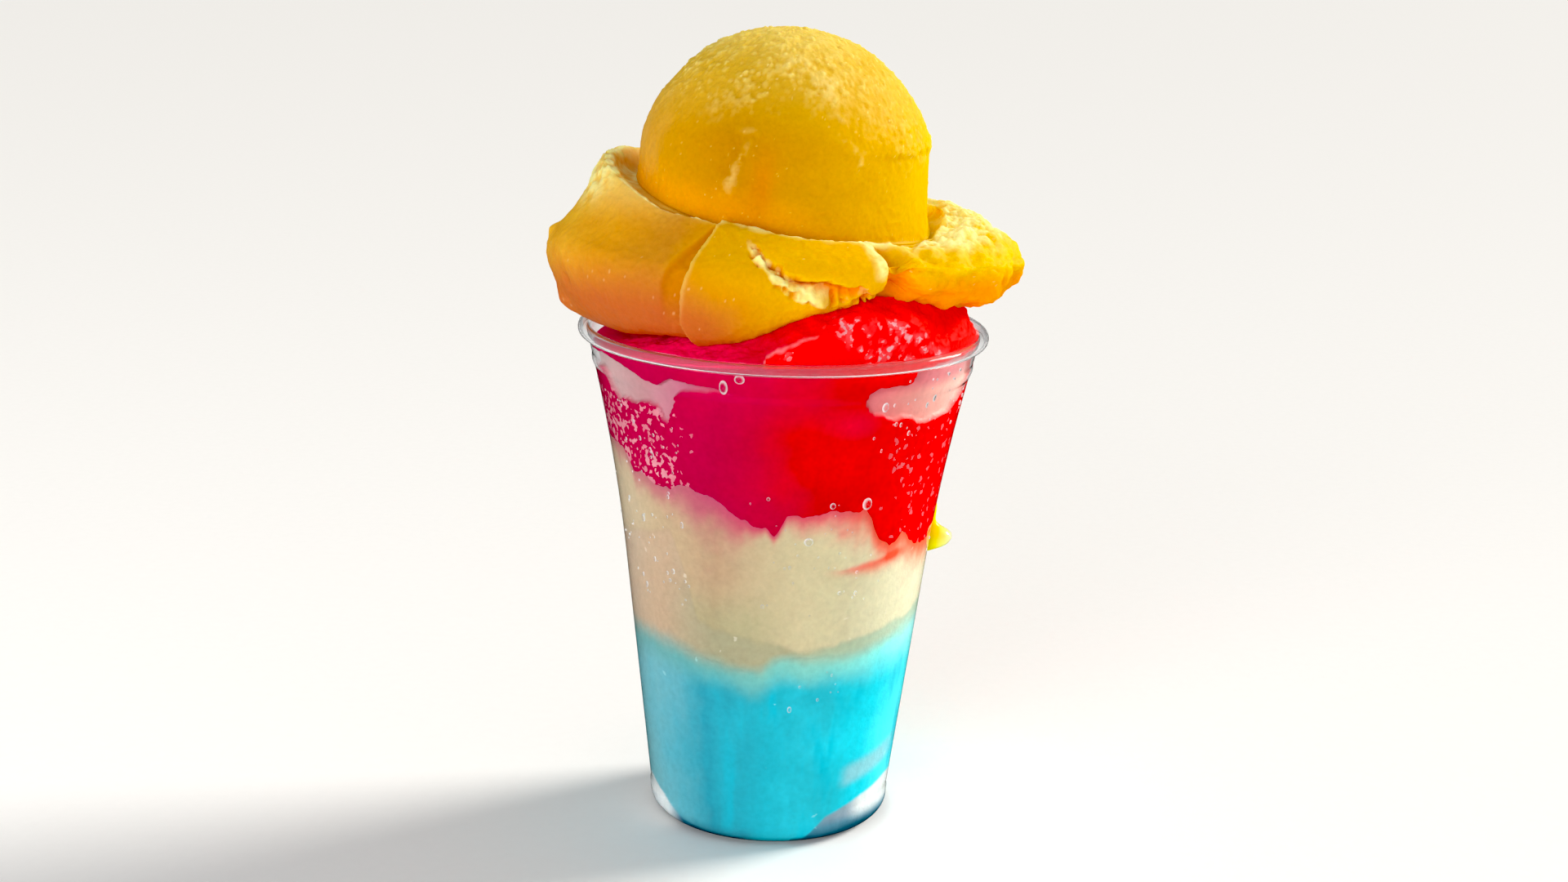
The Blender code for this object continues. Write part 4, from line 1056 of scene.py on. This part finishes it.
collar_angles = spread(COLLAR_COLUMNS)
outline_share = np.interp(np.linspace(0, 1, COLLAR_ROWS, endpoint=False), ROW_SHARES, OUTLINE_SHARES)
collar_radius, collar_height = collar_outline(collar_angles, outline_share)
collar_rows = rings(collar_angles, collar_radius, collar_height, BALL_X)
collar_normal = outward(collar_rows)
along_outline = outline_share[:, None]
bulge_z = around(BULGE_Z, collar_angles)
outer = step_up(collar_radius - around(LIP_OUTER, collar_angles), -3.0, 0.5)
shown = step_up(along_outline, 0.14, 0.2) * step_up(-along_outline, -0.93, -0.86)
marks, torn, ridge, crevice, cleft, sunk, flap_edge_highlight = collar_marks(collar_angles, collar_height, collar_rows)
lump_share = (step_up(collar_angles, LUMP_START, LUMP_START + 9)
              * step_up(-collar_angles, -LUMP_END - 12, -LUMP_END))
wide_crest = step_up(collar_angles, -125, -105) * step_up(-collar_angles, -175, -150)
wide_crest = wide_crest * step_up(layered(collar_rows, 6, 2, 135), -0.1, 0.5)
crest = np.exp(-((along_outline - CREST) / (CREST_HALF * (1 + wide_crest))) ** 2)
back_rough = step_up(np.abs(collar_angles), 155, 172) * step_up(collar_height, 148, 156)
ragged = np.clip(crest + back_rough, 0, 1)
crags = layered(collar_rows, 9, 4, 130)
knobs, _ = crumbs(collar_rows, 7.0, 131)
nubs = layered(collar_rows, 2.2, 3, 132)
lump_top = lump_share * step_up(collar_height + 3 * crags, 143, 149) * step_up(collar_angles, -50, -42)
lump_relief = 2.0 * crags + 2.4 * (0.45 - np.minimum(knobs, 0.9)) + (0.2 + 0.5 * lump_top) * nubs
collar_relief = (outer * marks + ragged * (0.4 + 0.3 * back_rough) * nubs + (torn + ridge) * 0.8 * nubs
                 + lump_share * lump_relief + 0.5 * layered(collar_rows, 15, 2, 133)
                 + 0.14 * grain(collar_rows, 1.1, 134) + 0.1 * nubs)
collar_relief -= 0.5 + 0.8 * lump_share
# The pale is crumbs and crystals, with a painted highlight along the flap's edge
pale = np.clip(0.9 * ridge * step_up(nubs, -0.9, 0.1) + 0.8 * crest * step_up(nubs, -0.7, 0.2)
               + 0.3 * torn * step_up(nubs, 0, 0.4) + 0.2 * flap_edge_highlight * step_up(collar_height, 126, 140)
               + 0.9 * back_rough * step_up(nubs, -0.4, 0.3), 0, 1)
turned = np.cos(np.radians(collar_angles)) + 0 * collar_height
collar_colour = stops(np.clip(turned + 0.12 * crags, -1, 1), COLLAR_STOPS)
# Redder orange low on the shaded left under the bulge: painted shade and painted reflection of the red ice
underside_shade_and_red_reflection = step_up(bulge_z - collar_height + 2 * crags, -6, 10)
underside_shade_and_red_reflection *= (1 - lump_share) * step_up(-turned, -0.1, 0.4)
rise = step_up(collar_height - bulge_z + 2 * crags, 8, 20) * step_up(-turned, 0.45, 0.8)
speck, speck_number = crumbs(collar_rows, 1.2, 140)
# Tiny pale specks: painted glints of crystals
painted_glint = (speck < 0.2) * (speck_number < 0.06)
collar_colour = washed(collar_colour, (("#c05a34", 0.85 * underside_shade_and_red_reflection),))
collar_colour = mix(collar_colour, stops(collar_angles + 0 * collar_height, TORN_STOPS), 0.75 * torn)
collar_colour = washed(collar_colour, (
    # Dark orange in the crevice under the slab: painted shade
    ("#d8640c", 0.7 * crevice),
    # Orange in the cleft: painted shade
    ("#ff8c08", 0.7 * cleft * step_up(-collar_height, -146, -140)),
    # Orange on the lump's low part: painted shade
    ("#fa8c04", 0.8 * lump_share * step_up(140 - collar_height, -2, 6)),
    ("#f8d878", 0.6 * rise),
    # Amber in the sunk band left of the flap: painted shadow of the flap
    ("#cf8200", 0.75 * sunk),
    ("#fdf2a0", np.clip(pale + lump_top * step_up(nubs, -0.5, 0.4), 0, 0.9)),
    ("#fbe6ac", 0.25 * painted_glint)))
collar_frost = np.clip(0.15 + 0.7 * pale + 0.6 * lump_share + 0.5 * torn, 0, 1)
collar_tint = np.concatenate([collar_colour, collar_frost[..., None]], axis=-1)
collar_rows = collar_rows + collar_normal * (shown * collar_relief)[..., None]
collar = closed_skin("mango_collar", (BALL_X, 0, COLLAR_MIDDLE), collar_rows, (BALL_X, 0, UNDERSIDE),
                     mango, collar_tint)
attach(collar, "root")
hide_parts("mango_scoop")


# Melted drop: sorbet that ran down the outside of the wall and hangs there, fattest at its low end.
# It is thin and lit from behind, and its outer part is painted pale for the light shining through.
DRIP_ANGLE, DRIP_BOTTOM, DRIP_TOP = 4.0, 65.5, 79.0
DRIP_BULGE, DRIP_HALF_WIDTH = 6.4, 3.4
DRIP_FATTEST = 0.24  # share of the way up where it stands out most
DRIP_INTO_WALL = 0.15  # so that it isn't loose
DRIP_COLUMNS, DRIP_ROWS = 96, 60
DRIP_STOPS = ((0.0, "#ffe200"), (0.35, "#fff030"), (0.65, "#fff890"), (1.0, "#fffcc4"))


def melted_sorbet():
    """Melted mango sorbet: syrup thick with pulp, smooth and glossy, painted paler where it stands out
    furthest, as painted light shining through.
    """
    made, tree = finish_named("melted_mango_sorbet")
    place = add(tree, "ShaderNodeTexCoord", {}, {})
    tint = add(tree, "ShaderNodeAttribute", {"attribute_name": "Tint"}, {})
    pulp = add(tree, "ShaderNodeTexNoise", {}, {"Vector": place.outputs["Object"], "Scale": 1 / (1.5 * MM),
                                                "Detail": 3.0})
    shade = add(tree, "ShaderNodeMapRange", {}, {"Value": pulp.outputs["Fac"], "To Min": 0.92,
                                                 "To Max": 1.06})
    tone = add(tree, "ShaderNodeVectorMath", {"operation": "SCALE"}, {0: tint.outputs["Color"],
                                                                      "Scale": shade.outputs["Result"]})
    syrup = add(tree, "ShaderNodeBsdfPrincipled", {},
                {"Base Color": tone.outputs["Vector"], "Roughness": 0.16, "IOR": 1.36,
                 "Subsurface Weight": 1.0, "Subsurface Radius": (1.0, 0.95, 0.5),
                 "Subsurface Scale": 5 * MM})
    add(tree, "ShaderNodeOutputMaterial", {}, {"Surface": syrup.outputs["BSDF"]})
    return made


drip_share = np.linspace(0.004, 0.996, DRIP_ROWS)[:, None]
drip_z = DRIP_BOTTOM + (DRIP_TOP - DRIP_BOTTOM) * drip_share
low_bulge = np.exp(-np.abs((drip_share - DRIP_FATTEST) / DRIP_FATTEST) ** 3)
swell = np.sqrt(1 - np.abs(2 * drip_share - 1) ** 3) * (0.2 + 0.8 * low_bulge)
drip_turn = np.arange(DRIP_COLUMNS) * 2 * math.pi / DRIP_COLUMNS
drip_out = DRIP_BULGE * swell * np.maximum(np.cos(drip_turn), 0) ** 0.55
drip_radius = wall_radius(drip_z) - DRIP_INTO_WALL + drip_out
drip_angle = DRIP_ANGLE + np.degrees(DRIP_HALF_WIDTH * swell * np.sin(drip_turn) / wall_radius(drip_z))
drip_rows = rings(drip_angle, drip_radius, drip_z + 0 * drip_angle)
# Paler the further it stands out: painted light shining through the drop
drip_colour = stops(drip_out / DRIP_BULGE, DRIP_STOPS)
drip_tint = np.concatenate([drip_colour, np.zeros(drip_out.shape + (1,))], axis=-1)
drip = closed_skin("mango_drip_melted", drip_rows[0].mean(axis=0), drip_rows, drip_rows[-1].mean(axis=0),
                   melted_sorbet(), drip_tint)
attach(drip, "root")
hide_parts("mango_drip")


# Water drops: condensation on the cup's cold wall, a few large drops and many fine ones, thickest
# over the frosted hollows and the rough ice.
# Large drops: angle, height, half width, half height
LARGE_DROPS = ((-106.3, 115.7, 1.0, 1.7), (-101.6, 117.9, 1.2, 1.1), (-59.2, 87.4, 1.2, 1.5),
               (-79.0, 78.9, 1.1, 1.0), (-71.7, 87.6, 0.7, 0.8), (-144.1, 79.0, 0.5, 1.0),
               (-124.4, 80.2, 0.4, 0.8), (-58.4, 111.0, 0.8, 1.2), (-38.5, 111.2, 0.5, 0.9))
# Fine drops: angles from and to, heights from and to, how many
DROP_FIELDS = ((-155, -122, 60, 108, 60), (-62, -12, 100, 117, 36), (-100, -45, 60, 90, 34),
               (-85, -55, 36, 46, 8), (-20, 180, 55, 116, 60), (120, 205, 55, 116, 40))
DROP_HEIGHT = 0.7  # of its half width
FINE_DROP, DROP_GROWTH = 0.16, 0.34  # smallest half width, and how much more the largest has
DROP_INTO_WALL = 0.1
DROP_SEED = 6166
DROP_COLUMNS, DROP_ROWS = 18, 7


def condensed_water():
    """Water that condensed on the cold wall: clear, and whitish at its rim as a painted highlight."""
    made, tree = finish_named("condensed_water")
    rim = add(tree, "ShaderNodeAttribute", {"attribute_name": "RimHighlight"}, {})
    place = add(tree, "ShaderNodeTexCoord", {}, {})
    ripple = add(tree, "ShaderNodeTexNoise", {}, {"Vector": place.outputs["Object"], "Scale": 1 / (0.8 * MM)})
    rough = add(tree, "ShaderNodeMapRange", {}, {"Value": ripple.outputs["Fac"], "To Min": 0.01,
                                                 "To Max": 0.04})
    clear_share = add(tree, "ShaderNodeMapRange", {}, {"Value": rim.outputs["Fac"], "From Min": 0.55,
                                                       "From Max": 0.95, "To Min": 1.0, "To Max": 0.45})
    water = add(tree, "ShaderNodeBsdfPrincipled", {},
                {"Base Color": (*linear("#fbfdff"), 1), "Roughness": rough.outputs["Result"], "IOR": 1.33,
                 "Transmission Weight": clear_share.outputs["Result"]})
    clear = add(tree, "ShaderNodeBsdfTransparent", {}, {"Color": (*linear("#fcfdfe"), 1)})
    path = add(tree, "ShaderNodeLightPath", {}, {})
    both = add(tree, "ShaderNodeMixShader", {}, {0: path.outputs["Is Shadow Ray"], 1: water.outputs["BSDF"],
                                                 2: clear.outputs["BSDF"]})
    add(tree, "ShaderNodeOutputMaterial", {}, {"Surface": both.outputs["Shader"]})
    return made


draw = np.random.default_rng(DROP_SEED)
places = [np.array(LARGE_DROPS)]
for start, end, low_z, high_z, count in DROP_FIELDS:
    half_width = FINE_DROP + DROP_GROWTH * draw.random(count) ** 3
    places.append(np.stack([draw.uniform(start, end, count), draw.uniform(low_z, high_z, count), half_width,
                            half_width * draw.uniform(1.0, 1.7, count)], axis=1))
drops = np.concatenate(places)[:, None, None, :]
ring_share = np.sin(np.linspace(0.02, 1, DROP_ROWS) * math.pi / 2)[None, :, None]
drop_turn = (np.arange(DROP_COLUMNS) * 2 * math.pi / DROP_COLUMNS)[None, None, :]
drop_z = drops[..., 1] + drops[..., 3] * ring_share * np.sin(drop_turn)
drop_angle = drops[..., 0] + np.degrees(drops[..., 2] * ring_share * np.cos(drop_turn) / wall_radius(drop_z))
drop_dome = DROP_HEIGHT * drops[..., 2] * np.sqrt(np.maximum(1 - ring_share ** 2, 0)) + 0 * drop_turn
front = rings(drop_angle, wall_radius(drop_z) + drop_dome, drop_z)
back = rings(drop_angle, wall_radius(drop_z) - DROP_INTO_WALL, drop_z)[:, ::-1]
shells = np.concatenate([front, back], axis=1)
drop_count, drop_rings = shells.shape[:2]
ring = np.arange(drop_rings - 1)[:, None] * DROP_COLUMNS
next_ring = ring + DROP_COLUMNS
here, beside = np.arange(DROP_COLUMNS), (np.arange(DROP_COLUMNS) + 1) % DROP_COLUMNS
drop_quads = np.stack([ring + here, next_ring + here, next_ring + beside, ring + beside], axis=-1)
drop_quads = drop_quads.reshape(-1, 4)
shell_start = np.arange(drop_count)[:, None, None] * drop_rings * DROP_COLUMNS
all_quads = (shell_start + drop_quads).reshape(-1, 4)
last_ring = (drop_rings - 1) * DROP_COLUMNS
caps = np.concatenate([shell_start[:, 0] + here, shell_start[:, 0] + last_ring + here[::-1]])
drop_mesh = bpy.data.meshes.new("water_drops")
drop_mesh.from_pydata((shells.reshape(-1, 3) * MM).tolist(), [], all_quads.tolist() + caps.tolist())
drop_mesh.validate()
drop_mesh.shade_smooth()
drop_mesh.materials.append(condensed_water())
# Whitish rim: a painted highlight
rim_highlight_share = np.concatenate([ring_share, ring_share[:, ::-1]], axis=1)
rim_highlight_share = rim_highlight_share + np.zeros((drop_count, 1, DROP_COLUMNS))
drop_mesh.attributes.new("RimHighlight", "FLOAT", "POINT").data.foreach_set("value", rim_highlight_share.ravel())
water = bpy.data.objects.new("water_drops", drop_mesh)
scene.collection.objects.link(water)
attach(water, "root")
